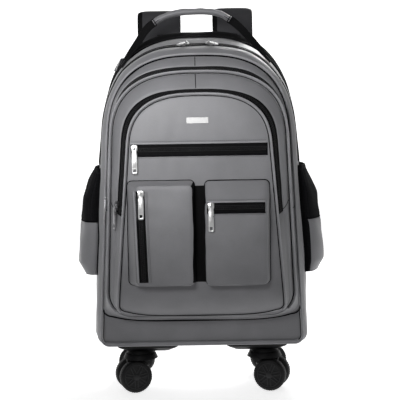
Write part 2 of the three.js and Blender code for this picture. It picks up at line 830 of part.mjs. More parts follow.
// Zip pulls: a slider with a hanging tab. The local frame has the tab along -z and the zip's
// outward side along -y.
function pullGeometry(length) {
  const slider = boxBetween(
    v3(-sliderWidth / 2, -sliderThickness, -sliderLength / 2),
    v3(sliderWidth / 2, 0, sliderLength / 2),
  );
  const outline = new THREE.Shape();
  outline.moveTo(-tabWidth / 2, 0);
  outline.lineTo(-tabWidth / 2, -length + tabCorner);
  outline.lineTo(-tabWidth / 2 + tabCorner, -length);
  outline.lineTo(tabWidth / 2 - tabCorner, -length);
  outline.lineTo(tabWidth / 2, -length + tabCorner);
  outline.lineTo(tabWidth / 2, 0);
  const hole = new THREE.Path();
  const [holeLow, holeHigh] = [-length + tabHole, -length + tabHole * 2.6];
  hole.moveTo(-tabHole / 2, holeLow);
  hole.lineTo(tabHole / 2, holeLow);
  hole.lineTo(tabHole / 2, holeHigh);
  hole.lineTo(-tabHole / 2, holeHigh);
  outline.holes.push(hole);
  const tab = new THREE.ExtrudeGeometry(outline, { depth: tabThickness, bevelEnabled: false });
  tab.rotateX(Math.PI / 2);
  tab.translate(0, -sliderThickness + tabThickness / 4, sliderLength / 4);
  return join(slider, tab);
}

function hangPull(name, at, normal, down, shape = longPull) {
  const out = normal.clone().normalize();
  const up = down.clone().multiplyScalar(-1).addScaledVector(out, down.dot(out)).normalize();
  const y = out.clone().multiplyScalar(-1);
  const x = y.clone().cross(up);
  const mesh = add(name, shape, materials.chrome);
  mesh.setRotationFromMatrix(new THREE.Matrix4().makeBasis(x, y, up));
  mesh.position.copy(at).addScaledVector(out, clearance);
}

const longPull = pullGeometry(tabLength);
const shortPull = pullGeometry(shortTabLength);

function pulls() {
  const front = v3(0, -1, 0);
  const down = v3(0, 0, -1);
  const onZip = (x, plane, z) => v3(x, faceZipY(plane), z);
  const left = pocketRows.left;
  const right = pocketRows.right;
  const rightZipZ = pocketBottom + pocketHeight - right.slope.z1 - pocketZipWidth / 2;
  hangPull("slip_pull", onZip(-slipZipReach + pullInset, frontFaceY, slipZ), front, down);
  hangPull("left_pocket_pull", onZip(left.x0 + left.slope.x0 + pocketZipWidth / 2, pocketFaceY,
    pocketBottom + pocketHeight - left.slope.z1 - pocketCorner - pullInset), front, down);
  hangPull("right_pocket_pull", onZip(right.x0 + rightZipMargin.near + pullInset, pocketFaceY,
    rightZipZ), front, down);

  const onBand = (rings, place, toDown) => {
    const { point, normal } = surfacePoint(rings, 1, place);
    const middle = point.lerp(placeOn(rings[0], place), 0.5);
    return [middle.addScaledVector(normal, bandLift + zipThickness), normal, toDown];
  };
  const leftSide = ringSize - zipFirst - sideSteps * pullShare;
  hangPull("front_pull", ...onBand(frontSide.slice(1, 3), leftSide, down));
  hangPull("middle_pull", ...onBand(middleSide.slice(1, 3), leftSide, down));
  for (const [name, side] of [["left", -1], ["right", 1]]) {
    hangPull(`main_pull_${name}`,
      ...onBand(mainZipRings.slice(0, 2), topIndex - side * 0.42, v3(side * 0.7, -1, -0.3)),
      shortPull);
  }
  for (const [name, place] of [["left", 4.2], ["right", 3.05]]) {
    hangPull(`rear_pull_${name}`, ...onBand(rearZipRings, topIndex + place, v3(-0.6, -0.5, -1)),
      shortPull);
  }
}

// Telescopic handle in the back of the bag: tubes, a tray at the top, and the handle in it
const trayX = handleWidth / 2 + bezelGap + bezelWall;
const trayY = handleDepth / 2 + bezelGap + bezelWall;
const trayTop = heightAt(0.997);
const trayFloor = trayTop - bezelHeight;

function bezelCutter() {
  return boxBetween(
    v3(-trayX - clearance, handleY - trayY - clearance, trayFloor),
    v3(trayX + clearance, handleY + trayY + clearance, trayTop + bezelHeight),
  );
}

const barShape = (width, depth) => (low, high, x) => boxBetween(
  v3(x - width / 2, handleY - depth / 2, low),
  v3(x + width / 2, handleY + depth / 2, high),
);

function trolley() {
  const outerBar = barShape(tubeWidth, tubeDepth);
  const bore = barShape(tubeWidth - 2 * tubeWall, tubeDepth - 2 * tubeWall);
  const slide = 2 * (tubeWall + tubeClearance);
  const innerBar = barShape(tubeWidth - slide, tubeDepth - slide);
  const innerBore = barShape(tubeWidth - slide - 2 * tubeWall, tubeDepth - slide - 2 * tubeWall);
  const tubeBottom = floorZ + cloth + clearance;
  const gripBottom = trayTop - handleHeight - gripTopGap;
  const handle = new THREE.Group();
  backpack.add(handle);
  let tray = cut(
    boxBetween(v3(-trayX, handleY - trayY, trayFloor), v3(trayX, handleY + trayY, trayTop)),
    boxBetween(
      v3(-trayX + bezelWall, handleY - trayY + bezelWall, trayFloor + bezelWall),
      v3(trayX - bezelWall, handleY + trayY - bezelWall, trayTop + 1),
    ),
  );
  for (const [name, side] of [["left", -1], ["right", 1]]) {
    const x = (side * tubeSpacing) / 2;
    const top = trayFloor - clearance;
    add(`trolley_tube_${name}`,
      cut(outerBar(tubeBottom, top, x), bore(tubeBottom - 1, top + 1, x)), materials.aluminium);
    tray = cut(tray, bore(trayFloor - 1, trayFloor + bezelWall + 1, x));
    const [low, high] = [tubeBottom + 4, gripBottom - clearance];
    add(`handle_tube_${name}`,
      cut(innerBar(low, high, x), innerBore(low - 1, high - 3, x)), materials.aluminium, handle);
  }
  add("trolley_bezel", tray, materials.plastic);

  const half = handleWidth / 2;
  const edges = [[0, gripCorner], [gripCorner, 0], [handleHeight - gripCorner, 0],
    [handleHeight, gripCorner]];
  const rings = edges.map(([up, inset]) => {
    return roundedRing(-half + inset, half - inset, handleY - handleDepth / 2 + inset / 2,
      handleY + handleDepth / 2 - inset / 2, handleDepth / 5, gripBottom + up)
      .map((p) => v3(p.x, p.z, p.y));
  });
  add("handle_grip", skin(rings), materials.plastic, handle);
}

// Casters: a base under the bag, a fork that swivels on it, and a pair of wheels on one axle
const wheelRadius = wheelDiameter / 2;
const flatRadius = wheelRadius / Math.cos(Math.PI / wheelSides);
const crownTop = groundClearance - casterBaseHeight - bossHeight - swivelGap;

function wheelPair() {
  const inner = wheelGap / 2;
  const outer = inner + wheelWidth;
  const axle = axleDiameter / 2;
  const profile = [
    [0, -outer],
    [flatRadius - wheelChamfer, -outer],
    [flatRadius, -outer + wheelChamfer],
    [flatRadius, -inner - wheelChamfer / 2],
    [axle, -inner],
    [axle, inner],
    [flatRadius, inner + wheelChamfer / 2],
    [flatRadius, outer - wheelChamfer],
    [flatRadius - wheelChamfer, outer],
    [0, outer],
  ].map(([r, y]) => new THREE.Vector2(r, y));
  const start = Math.PI / wheelSides;
  return new THREE.LatheGeometry(profile, wheelSides, start);
}

function fork() {
  const blade = new THREE.Shape();
  const drop = crownTop - crownHeight / 2 - wheelRadius;
  const foot = axleBoss / 2;
  const shoulder = drop - crownHeight * 0.75;
  blade.moveTo(-crownDiameter * 0.36, drop);
  blade.lineTo(-crownDiameter * 0.36, shoulder);
  blade.lineTo(casterTrail - foot, -foot * 0.3);
  blade.absarc(casterTrail, 0, foot, Math.PI * 1.05, Math.PI * 2.02, false);
  blade.lineTo(crownDiameter * 0.42, shoulder);
  blade.lineTo(crownDiameter * 0.42, drop);
  const bore = new THREE.Path();
  bore.absarc(casterTrail, 0, axleDiameter / 2 + tubeClearance, 0, Math.PI * 2, true);
  blade.holes.push(bore);
  const thick = wheelGap - 2 * forkGap;
  const leg = new THREE.ExtrudeGeometry(blade, { depth: thick, bevelEnabled: false,
    curveSegments: 5 });
  leg.rotateX(Math.PI / 2).translate(0, thick / 2, wheelRadius);
  const crown = new THREE.CylinderGeometry(crownDiameter / 2 - crownTaper, crownDiameter / 2,
    crownHeight, discSides);
  crown.rotateX(Math.PI / 2).translate(0, 0, crownTop - crownHeight / 2);
  return join(leg, crown);
}

// The base's edge: down is a share of its height, inset and the corner are shares of its depth
const casterBaseRows = [
  { down: 0, inset: 0 },
  { down: 0.42, inset: 0.04 },
  { down: 1, inset: 0.27 },
];
const casterBaseCorner = 0.155;

function casterBase() {
  const halfX = casterBaseWidth / 2;
  const halfY = casterBaseDepth / 2;
  const top = groundClearance - clearance;
  const rings = casterBaseRows.map((row) => {
    const inset = casterBaseDepth * row.inset;
    const level = top - casterBaseHeight * row.down;
    return roundedRing(-halfX + inset, halfX - inset, -halfY + inset, halfY - inset,
      casterBaseDepth * casterBaseCorner, level).map((p) => v3(p.x, p.z, p.y));
  });
  const bossTop = top - casterBaseHeight + 1;
  const bossBottom = crownTop + swivelGap;
  const boss = new THREE.CylinderGeometry(bossDiameter / 2 - bossTaper, bossDiameter / 2,
    bossTop - bossBottom, discSides);
  boss.rotateX(Math.PI / 2).translate(casterBaseInset, 0, (bossTop + bossBottom) / 2);
  return join(skin(rings), boss);
}

function casters() {
  const baseShape = casterBase();
  const forkShape = fork();
  const wheelShape = wheelPair();
  const places = [
    ["front_left", -1, bodyFrontY + casterFrontInset, 1],
    ["front_right", 1, bodyFrontY + casterFrontInset, 1],
    ["rear_left", -1, backY - casterRearInset, -1],
    ["rear_right", 1, backY - casterRearInset, -1],
  ];
  for (const [name, side, y, turn] of places) {
    const caster = new THREE.Group();
    caster.position.set(side * (bodyWidth / 2 - casterSideInset), y, 0);
    backpack.add(caster);
    const base = add(`caster_base_${name}`, baseShape, materials.plastic, caster);
    base.position.x = -side * casterBaseInset;
    base.rotation.z = side < 0 ? Math.PI : 0;
    const swivel = new THREE.Group();
    const yaw = THREE.MathUtils.degToRad(casterYaw);
    swivel.rotation.z = side < 0 ? Math.PI + yaw * turn : -yaw * turn;
    caster.add(swivel);
    add(`caster_fork_${name}`, forkShape, materials.plastic, swivel);
    const wheels = add(`caster_wheels_${name}`, wheelShape, materials.wheel, swivel);
    wheels.position.set(casterTrail, 0, wheelRadius);
  }
}

compartmentPieces();
frontPieces();
sidePockets();
backPieces();
shoulderStraps();
grabHandle();
pulls();
trolley();
casters();

// The origin goes to the middle of the footprint, at the height that the wheels stand on
backpack.updateMatrixWorld(true);
const bounds = new THREE.Box3().setFromObject(backpack);
const centre = bounds.getCenter(v3(0, 0, 0));
const root = new THREE.Group();
backpack.position.set(-centre.x, -centre.y, -bounds.min.z);
root.add(backpack);

export default root;
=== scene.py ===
"""Looks of the wheeled backpack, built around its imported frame. Metres, +Z up, the face towards -Y."""

import json
import math

import bmesh
import bpy
import numpy as np
from mathutils import Matrix, Vector
from mathutils.bvhtree import BVHTree


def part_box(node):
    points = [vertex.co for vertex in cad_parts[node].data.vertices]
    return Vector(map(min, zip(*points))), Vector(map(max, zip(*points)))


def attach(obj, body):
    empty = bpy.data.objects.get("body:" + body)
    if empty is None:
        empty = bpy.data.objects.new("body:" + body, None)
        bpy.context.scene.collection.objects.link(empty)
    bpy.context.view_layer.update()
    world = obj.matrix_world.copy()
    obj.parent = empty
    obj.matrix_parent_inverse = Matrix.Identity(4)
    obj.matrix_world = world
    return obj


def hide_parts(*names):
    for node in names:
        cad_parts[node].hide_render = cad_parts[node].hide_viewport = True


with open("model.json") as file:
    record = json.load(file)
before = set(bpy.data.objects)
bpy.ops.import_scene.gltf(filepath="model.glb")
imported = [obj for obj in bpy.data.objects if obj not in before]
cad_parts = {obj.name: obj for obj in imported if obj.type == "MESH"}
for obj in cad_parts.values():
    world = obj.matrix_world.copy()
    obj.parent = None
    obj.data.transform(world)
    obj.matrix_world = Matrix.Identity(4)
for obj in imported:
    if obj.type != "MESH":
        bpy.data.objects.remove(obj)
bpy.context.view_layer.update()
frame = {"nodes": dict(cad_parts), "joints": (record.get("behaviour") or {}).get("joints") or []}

MM = 0.001

# Camera: the photograph's height, distance, tilt and lens
CAMERA_PLACE = (0.0, -1.69336, 0.4552)
CAMERA_PITCH = 5.47
CAMERA_ROLL = -0.95
CAMERA_LENS = 98.7
SENSOR_WIDTH = 36

# Light. The floor in front of the bag glows less, so that its lower front stays dark:
# the glow changes from NEAR_GLOW to FLOOR_GLOW between the two y of NEAR_EDGES
NEAR_EDGES = (-0.3, -0.06)
NEAR_GLOW = 0.08
FLOOR_GLOW = 0.76
WALL_GLOW = 1.0
WORLD_GLOW = 0.13
LIGHTS = [
    dict(name="key", place=(-0.2, -0.83, 0.6), target=(-0.06, -0.1, 0.46), size=0.3,
         power=0.59, spread=50),
    dict(name="top", place=(0.1, -0.35, 1.5), target=(0, 0, 0.5), size=0.6, power=1.2, spread=180),
    dict(name="back", place=(0.5, 1.7, 1.3), target=(0, 0.1, 0.3), size=0.6, power=9, spread=120),
]

# The bag's size and the planes of its seams, from the frame
body_low, body_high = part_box("main_body")
HALF_WIDTH = body_high.x
FLOOR_Z = body_low.z
HEIGHT = body_high.z - FLOOR_Z
BODY_FRONT = body_low.y
BACK_Y = body_high.y
MIDDLE_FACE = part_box("middle_compartment")[0].y
FRONT_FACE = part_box("front_compartment")[0].y
POCKET_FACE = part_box("left_pocket")[0].y
ZIP_ENDS = {name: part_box(f"{name}_zip")[0].z for name in ("front", "middle", "main", "rear")}
SLIP_Z = (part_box("slip_zip")[0].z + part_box("slip_zip")[1].z) / 2

# Sections of the main body: widths are shares of half the width, heights of the height, and
# depth is a share from its front seam to its back edge
BODY_ROWS = [
    dict(depth=0.0, wide=0.897, narrow=0.806, bottom=0.004, spring=0.648, top=0.92, power=2.8),
    dict(depth=0.13, wide=0.95, narrow=0.855, bottom=0.0, spring=0.636, top=0.938, power=2.8),
    dict(depth=0.31, wide=0.985, narrow=0.888, bottom=0.0, spring=0.62, top=0.955, power=2.8),
    dict(depth=0.63, wide=1.0, narrow=0.902, bottom=0.0, spring=0.62, top=0.983, power=2.8),
    dict(depth=0.72, wide=0.998, narrow=0.9, bottom=0.0, spring=0.62, top=1.0, power=3.0),
    dict(depth=0.9, wide=0.985, narrow=0.885, bottom=0.0, spring=0.62, top=0.999, power=3.0),
    dict(depth=1.0, wide=0.95, narrow=0.855, bottom=0.01, spring=0.62, top=0.994, power=3.0),
]
# Seam outlines, in the same shares; corner, rise and foot are in mm
OUTLINES = {
    "front": dict(y=FRONT_FACE, wide=0.722, narrow=0.6, bottom=0.107, spring=0.637, top=0.797,
                  power=2.8, corner=12, rise=13, foot=25, knee=0.214),
    "middle": dict(y=MIDDLE_FACE, wide=0.822, narrow=0.757, bottom=0.104, spring=0.648, top=0.866,
                   power=2.8, corner=38),
    "middle_back": dict(y=BODY_FRONT, wide=0.89, narrow=0.806, bottom=0.078, spring=0.648,
                        top=0.92, power=2.8, corner=14, rise=13),
    "body": dict(BODY_ROWS[0], y=BODY_FRONT),
}
BODY_CORNER = 11
MAIN_ZIP_DEPTH = 0.31
REAR_ZIP_DEPTHS = (0.61, 0.75)
ZIP_LEAN = -3.5 * MM
CLOTH = 2.4 * MM
PIPING_RADIUS = 1.6 * MM
SEWN_RADIUS = 0.6 * MM

# Points of half an outline, from the bottom centre to the top centre
BOTTOM_STEPS = 14
CORNER_STEPS = 8
SIDE_STEPS = 38
ARCH_STEPS = 52
CORNER_END = BOTTOM_STEPS + CORNER_STEPS
TOP = CORNER_END + SIDE_STEPS + ARCH_STEPS
COUNT = 2 * TOP

# Rows of a compartment's side: up to its zip, across the zip, and over the gusset behind it
LIP_ROWS = 3
ZIP_ROWS = 7
GUSSET_ROWS = 15
ZIP_MIDDLE = LIP_ROWS + ZIP_ROWS // 2
ZIP_LAST = LIP_ROWS + ZIP_ROWS
SIDE_LAST = ZIP_LAST + GUSSET_ROWS


def height_at(share):
    return FLOOR_Z + HEIGHT * share


def sized(row):
    """An outline as real lengths, from a row of shares"""
    lengths = dict(y=row["y"], power=row["power"], knee=height_at(row.get("knee", 0)))
    lengths |= {key: row[key] * HALF_WIDTH for key in ("wide", "narrow")}
    lengths |= {key: height_at(row[key]) for key in ("bottom", "spring", "top")}
    default = dict(corner=BODY_CORNER, rise=0, foot=0)
    return lengths | {key: row.get(key, default[key]) * MM for key in default}


def seam_y(seam, z):
    """How far back an outline stands at the heights z"""
    if not seam["foot"]:
        return np.full(np.shape(z), seam["y"])
    below = np.clip((seam["knee"] - z) / (seam["knee"] - seam["bottom"]), 0, 1)
    return seam["y"] + seam["foot"] * below**2


def ring(seam, inset=0.0, back=0.0):
    """A seam outline as COUNT points, from the bottom centre up the right side and down the left"""
    wide = seam["wide"] - inset
    corner = max(seam["corner"] - inset, MM)
    bottom = seam["bottom"] + inset
    spring = seam["spring"]
    flat = wide - corner
    taper = (seam["wide"] - seam["narrow"]) / (spring - seam["bottom"])
    corner_z = bottom + seam["rise"] * (flat / wide) ** 5 + corner
    x = np.linspace(0, flat, BOTTOM_STEPS, endpoint=False)
    low = np.stack([x, bottom + seam["rise"] * (x / wide) ** 5], 1)
    turn = np.linspace(0, math.pi / 2, CORNER_STEPS, endpoint=False)
    bend = np.stack([flat + corner * np.sin(turn), corner_z - corner * np.cos(turn)], 1)
    z = np.linspace(corner_z, spring, SIDE_STEPS, endpoint=False)
    side = np.stack([wide - taper * (z - corner_z), z], 1)
    turn = np.linspace(0, math.pi / 2, ARCH_STEPS + 1)
    power = 2 / seam["power"]
    z = spring + (seam["top"] - inset - spring) * np.sin(turn) ** power
    cosine = np.clip(np.cos(turn), 0, 1)
    arch = np.stack([(wide - taper * (z - corner_z)) * cosine**power, z], 1)
    right = np.concatenate([low, bend, side, arch])
    left = right[1:-1][::-1] * [-1, 1]
    x, z = np.concatenate([right, left]).T
    return np.stack([x, seam_y(seam, z) + back, z], 1)


SEAMS = {name: sized(row) for name, row in OUTLINES.items()}


def body_section(depth):
    """The main body's outline at a depth share, with the table's corners rounded off"""
    depths = [row["depth"] for row in BODY_ROWS]
    near = np.clip([depth - 0.03, depth, depth + 0.03], 0, 1)
    keys = ("wide", "narrow", "bottom", "spring", "top", "power")
    row = {key: float(np.mean(np.interp(near, depths, [r[key] for r in BODY_ROWS])))
           for key in keys}
    return sized(dict(row, y=BODY_FRONT + depth * (BACK_Y - BODY_FRONT)))


def smooth(low, high, value):
    t = np.clip((value - low) / (high - low), 0, 1)
    return t * t * (3 - 2 * t)


def bump(value, centre, width):
    return np.exp(-(((value - centre) / width) ** 2))


def ripple(points, size, seed, stretch=(1, 1, 1)):
    """Smooth noise of about unit height from a few crossed waves; size is its usual wavelength"""
    rng = np.random.default_rng(seed)
    scaled = points * np.array(stretch)
    total = np.zeros(points.shape[:-1])
    waves = 14
    for _ in range(waves):
        direction = rng.normal(size=3)
        direction /= np.linalg.norm(direction)
        length = size * rng.uniform(0.6, 1.7)
        phase = rng.uniform(0, 2 * math.pi)
        total += np.sin(scaled @ direction * (2 * math.pi / length) + phase)
    return total / math.sqrt(waves / 2)


def unit(vectors):
    return vectors / np.maximum(np.linalg.norm(vectors, axis=-1, keepdims=True), 1e-12)


def grid_normals(points, wrap=True):
    """Outward normals of a grid: rows run to the back, columns up the right side"""
    if wrap:
        along = np.roll(points, -1, 1) - np.roll(points, 1, 1)
    else:
        along = np.gradient(points, axis=1)
    return unit(np.cross(np.gradient(points, axis=0), along))


class Surface:
    """A grid of points that other pieces are laid on"""

    def __init__(self, points, wrap=True):
        self.points = points
        self.wrap = wrap
        self.normals = grid_normals(points, wrap)

    def raised(self, relief):
        return Surface(self.points + self.normals * relief[..., None], self.wrap)

    def _mix(self, values, rows, cols):
        rows, cols = np.broadcast_arrays(np.asarray(rows, float), np.asarray(cols, float))
        height, width = values.shape[:2]
        rows = np.clip(rows, 0, height - 1.001)
        r = np.floor(rows).astype(int)
        c = np.floor(cols).astype(int)
        fr, fc = (rows - r)[..., None], (cols - c)[..., None]
        c0, c1 = c % width, (c + 1) % width
        low = values[r, c0] * (1 - fc) + values[r, c1] * fc
        high = values[r + 1, c0] * (1 - fc) + values[r + 1, c1] * fc
        return low * (1 - fr) + high * fr

    def at(self, rows, cols, lift=0.0):
        lift = np.asarray(lift, float)
        if lift.ndim:
            lift = lift[..., None]
        return self._mix(self.points, rows, cols) + self.normal(rows, cols) * lift

    def normal(self, rows, cols):
        return unit(self._mix(self.normals, rows, cols))


def placed(name, data):
    """A new object in the scene"""
    obj = bpy.data.objects.new(name, data)
    bpy.context.scene.collection.objects.link(obj)
    return obj


def shaded(data, sharp):
    """Smooth shading, but for edges that turn by more than this many degrees"""
    data.polygons.foreach_set("use_smooth", [True] * len(data.polygons))
    data.set_sharp_from_angle(angle=math.radians(sharp))


def coordinates(data):
    return np.array([vertex.co[:] for vertex in data.vertices])


def grid_faces(rows, cols, wrap=False, start=0):
    r, c = np.meshgrid(np.arange(rows - 1), np.arange(cols if wrap else cols - 1), indexing="ij")
    a = start + r * cols + c
    b = start + r * cols + (c + 1) % cols
    return np.stack([a, b, b + cols, a + cols], -1).reshape(-1, 4).tolist()


def capped(grid):
    """Faces of a grid whose rows are rings, closed at both ends"""
    rows, cols = grid.shape[:2]
    last = (rows - 1) * cols
    faces = grid_faces(rows, cols, wrap=True)
    return faces + [list(range(cols)), [last + i for i in range(cols)]]


def piece(name, points, faces, materials, body="bag", nodes=(), slot=None, marks=None,
          sharp=40):
    """A new object from points and faces; marks gives each face its material's number"""
    data = bpy.data.meshes.new(name)
    data.from_pydata(np.asarray(points, float).reshape(-1, 3).tolist(), [], faces)
    for material in materials if isinstance(materials, (list, tuple)) else [materials]:
        data.materials.append(material)
    if marks is not None:
        data.polygons.foreach_set("material_index", np.asarray(marks, np.int32))
    solid = bmesh.new()
    solid.from_mesh(data)
    bmesh.ops.remove_doubles(solid, verts=solid.verts, dist=1e-6)
    bmesh.ops.recalc_face_normals(solid, faces=solid.faces)
    solid.to_mesh(data)
    solid.free()
    shaded(data, sharp)
    obj = placed(name, data)
    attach(obj, body)
    if nodes:
        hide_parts(*nodes)
    return obj


def with_modifier(obj, kind, **settings):
    """Applies one modifier to the object's mesh"""
    modifier = obj.modifiers.new("shape", kind)
    for key, value in settings.items():
        setattr(modifier, key, value)
    bpy.context.view_layer.update()
    depsgraph = bpy.context.evaluated_depsgraph_get()
    fresh = bpy.data.meshes.new_from_object(obj.evaluated_get(depsgraph))
    obj.modifiers.clear()
    old = obj.data
    obj.data = fresh
    fresh.name = old.name
    bpy.data.meshes.remove(old)
    return obj


def thick(obj, depth):
    return with_modifier(obj, "SOLIDIFY", thickness=depth, offset=-1)


def slab(name, top, bottom, material, **options):
    """A closed sheet between two grids of the same size"""
    rows, cols = top.shape[:2]
    count = rows * cols
    faces = grid_faces(rows, cols) + grid_faces(rows, cols, start=count)
    edge = [r * cols for r in range(rows)]
    edge += [(rows - 1) * cols + c for c in range(1, cols)]
    edge += [r * cols + cols - 1 for r in range(rows - 2, -1, -1)]
    edge += list(range(cols - 2, 0, -1))
    for a, b in zip(edge, edge[1:] + edge[:1]):
        faces.append([a, b, b + count, a + count])
    points = np.concatenate([top.reshape(-1, 3), bottom.reshape(-1, 3)])
    return piece(name, points, faces, material, **options)


def tube_parts(path, radius, sides=10, closed=False, up=(0, 0, 1), flat=1.0):
    """Points and faces of a round cord along a path; flat squeezes it along up"""
    path = np.asarray(path, float)
    if closed:
        along = np.roll(path, -1, 0) - np.roll(path, 1, 0)
    else:
        along = np.gradient(path, axis=0)
    along = unit(along)
    up = np.broadcast_to(np.asarray(up, float), path.shape)
    side = unit(np.cross(along, up))
    lift = np.cross(side, along)
    turn = np.arange(sides) * 2 * math.pi / sides
    radius = np.broadcast_to(np.asarray(radius, float), (len(path),))[:, None, None]
    points = (path[:, None] + radius * (side[:, None] * np.cos(turn)[:, None]
              + lift[:, None] * np.sin(turn)[:, None] * flat))
    faces = capped(points)
    if closed:
        first, last = faces[-2:]
        faces[-2:] = [[last[i - 1], last[i], first[i], first[i - 1]] for i in range(sides)]
    return points.reshape(-1, 3), faces


def gathered(parts):
    """Several sets of points and faces as one, with a mark for the set each face came from"""
    points, faces, marks = [], [], []
    start = 0
    for mark, (some, more) in enumerate(parts):
        some = np.asarray(some).reshape(-1, 3)
        points.append(some)
        faces += [[start + i for i in face] for face in more]
        marks += [mark] * len(more)
        start += len(some)
    return np.concatenate(points), faces, marks


def joined(name, parts, materials, axes=None, place=(0, 0, 0), **options):
    """One piece from several parts. With axes they are in mm, to be turned and moved into place.
    A list of materials is dealt out to the parts in turn, the last one to all that follow."""
    points, faces, marks = gathered(parts)
    if axes is not None:
        points = points * MM @ axes + place
    if isinstance(materials, list):
        options["marks"] = [min(mark, len(materials) - 1) for mark in marks]
    return piece(name, points, faces, materials, **options)


def loop(path, radius, sides=8, closed=True):
    """Parts of a cord along a path that faces the front or the back"""
    return tube_parts(path, radius, sides, closed, up=(0, 1, 0))


def standing(line, y):
    """A flat outline stood up in x and z, at the depth y"""
    return np.stack([line[:, 0], np.zeros(len(line)) + y, line[:, 1]], 1)


def copies(shape, places, along, normal):
    """Copies of one small shape: its x goes along, its z to the normal"""
    points, faces = shape
    across = unit(np.cross(normal, along))
    frames = np.stack([along, across, np.cross(along, across)], 1)
    moved = np.einsum("pk,nkj->npj", np.asarray(points, float), frames) + places[:, None]
    count = len(points)
    every = [[n * count + i for i in face] for n in range(len(places)) for face in faces]
    return moved.reshape(-1, 3), every


def block(x, y, z, chamfer=0.0):
    """A small box centred on the origin, with its upper edges chamfered"""
    x, y = x / 2, y / 2
    low = [(-x, -y, 0), (x, -y, 0), (x, y, 0), (-x, y, 0)]
    mid = [(px, py, z - chamfer) for px, py, _ in low]
    k = (x - chamfer) / x
    m = (y - chamfer) / y
    high = [(px * k, py * m, z) for px, py, _ in low]
    points = low + mid + high
    faces = [[3, 2, 1, 0], [8, 9, 10, 11]]
    for base in (0, 4):
        for i in range(4):
            j = (i + 1) % 4
            faces.append([base + i, base + j, base + j + 4, base + i + 4])
    return points, faces


def spaced(path, normals, step, margin=0.0):
    """Places at even steps along a path, with their directions"""
    lengths = np.concatenate([[0], np.cumsum(np.linalg.norm(np.diff(path, axis=0), axis=1))])
    at = np.arange(margin, lengths[-1] - margin, step)
    places = np.stack([np.interp(at, lengths, path[:, k]) for k in range(3)], 1)
    facing = unit(np.stack([np.interp(at, lengths, normals[:, k]) for k in range(3)], 1))
    along = unit(np.gradient(places, axis=0))
    facing = unit(facing - along * np.sum(facing * along, 1, keepdims=True))
    return places, along, facing


# Materials


def new_material(name):
    """A material, its node tree, its shader and the object's coordinates"""
    material = bpy.data.materials.new(name)
    material.use_nodes = True
    tree = material.node_tree
    place = tree.nodes.new("ShaderNodeTexCoord").outputs["Object"]
    return material, tree, tree.nodes["Principled BSDF"], place


def feed(tree, node, values):
    """Sets a node's inputs, each to a number, a colour or another node's output"""
    for key, value in values.items():
        if isinstance(value, bpy.types.NodeSocket):
            tree.links.new(value, node.inputs[key])
        else:
            node.inputs[key].default_value = value


def noise_node(tree, place, scale, detail):
    node = tree.nodes.new("ShaderNodeTexNoise")
    feed(tree, node, {"Scale": scale, "Detail": detail, "Vector": place})
    return node.outputs["Fac"]


def wave_node(tree, place, scale, direction, distortion=0.0):
    node = tree.nodes.new("ShaderNodeTexWave")
    node.bands_direction = direction
    feed(tree, node, {"Scale": scale, "Distortion": distortion, "Vector": place})
    return node.outputs["Fac"]


def math_node(tree, operation, *values):
    node = tree.nodes.new("ShaderNodeMath")
    node.operation = operation
    feed(tree, node, dict(enumerate(values)))
    return node.outputs[0]


def ramp_node(tree, fac, colour, stops):
    """Shades of one colour: each stop has its place on the ramp and its brightness"""
    node = tree.nodes.new("ShaderNodeValToRGB")
    ramp = node.color_ramp
    while len(ramp.elements) < len(stops):
        ramp.elements.new(0.5)
    for element, (place, factor) in zip(ramp.elements, stops):
        element.position = place
        element.color = (*shade(colour, factor), 1)
    feed(tree, node, {"Fac": fac})
    return node.outputs["Color"]


def bump_node(tree, height, strength, distance, **more):
    node = tree.nodes.new("ShaderNodeBump")
    feed(tree, node, {"Height": height, "Strength": strength, "Distance": distance, **more})
    return node.outputs["Normal"]


def shade(colour, factor):
    return tuple(min(1.0, c * factor) for c in colour)


def bands_scale(width):
    """The scale at which a wave texture's bands are as wide as this, in mm"""
    return 1 / (math.tau * width * MM)


def woven(name, colour, roughness=0.62, thread=0.55, sheen=0.15, specular=0.4):
    """Woven cloth: crossed threads, soft mottling and small creases"""
    material, tree, shader, place = new_material(name)
    scale = bands_scale(thread)
    warp, weft, cross = (wave_node(tree, place, scale, axis, 0.2) for axis in "XZY")
    weave = math_node(tree, "ADD", math_node(tree, "ADD", warp, weft), cross)
    mottle = noise_node(tree, place, 22, 4)
    fine = math_node(tree, "MULTIPLY", noise_node(tree, place, 900, 2), 0.3)
    tone = math_node(tree, "MULTIPLY_ADD", mottle, 0.7, fine)
    soft = bump_node(tree, noise_node(tree, place, 60, 3), 0.08, 1.2 * MM)
    feed(tree, shader, {
        "Base Color": ramp_node(tree, tone, colour, [(0.3, 0.88), (0.5, 1), (0.7, 1.12)]),
        "Roughness": math_node(tree, "MULTIPLY_ADD", mottle, 0.16, roughness - 0.08),
        "Specular IOR Level": specular,
        "Sheen Weight": sheen,
        "Sheen Roughness": 0.45,
        "Normal": bump_node(tree, weave, 0.12, 0.12 * MM, Normal=soft),
    })
    return material


def webbing(name, colour, rib=1.3):
    """Ribbed tape: raised ribs with a fine grain"""
    material, tree, shader, place = new_material(name)
    ribs = wave_node(tree, place, bands_scale(rib), "DIAGONAL")
    grain = noise_node(tree, place, 700, 3)
    feed(tree, shader, {
        "Base Color": ramp_node(tree, grain, colour, [(0.3, 0.7), (0.7, 1.5)]),
        "Roughness": 0.75,
        "Specular IOR Level": 0.08,
        "Normal": bump_node(tree, math_node(tree, "ADD", ribs, grain), 0.35, 0.3 * MM),
    })
    return material


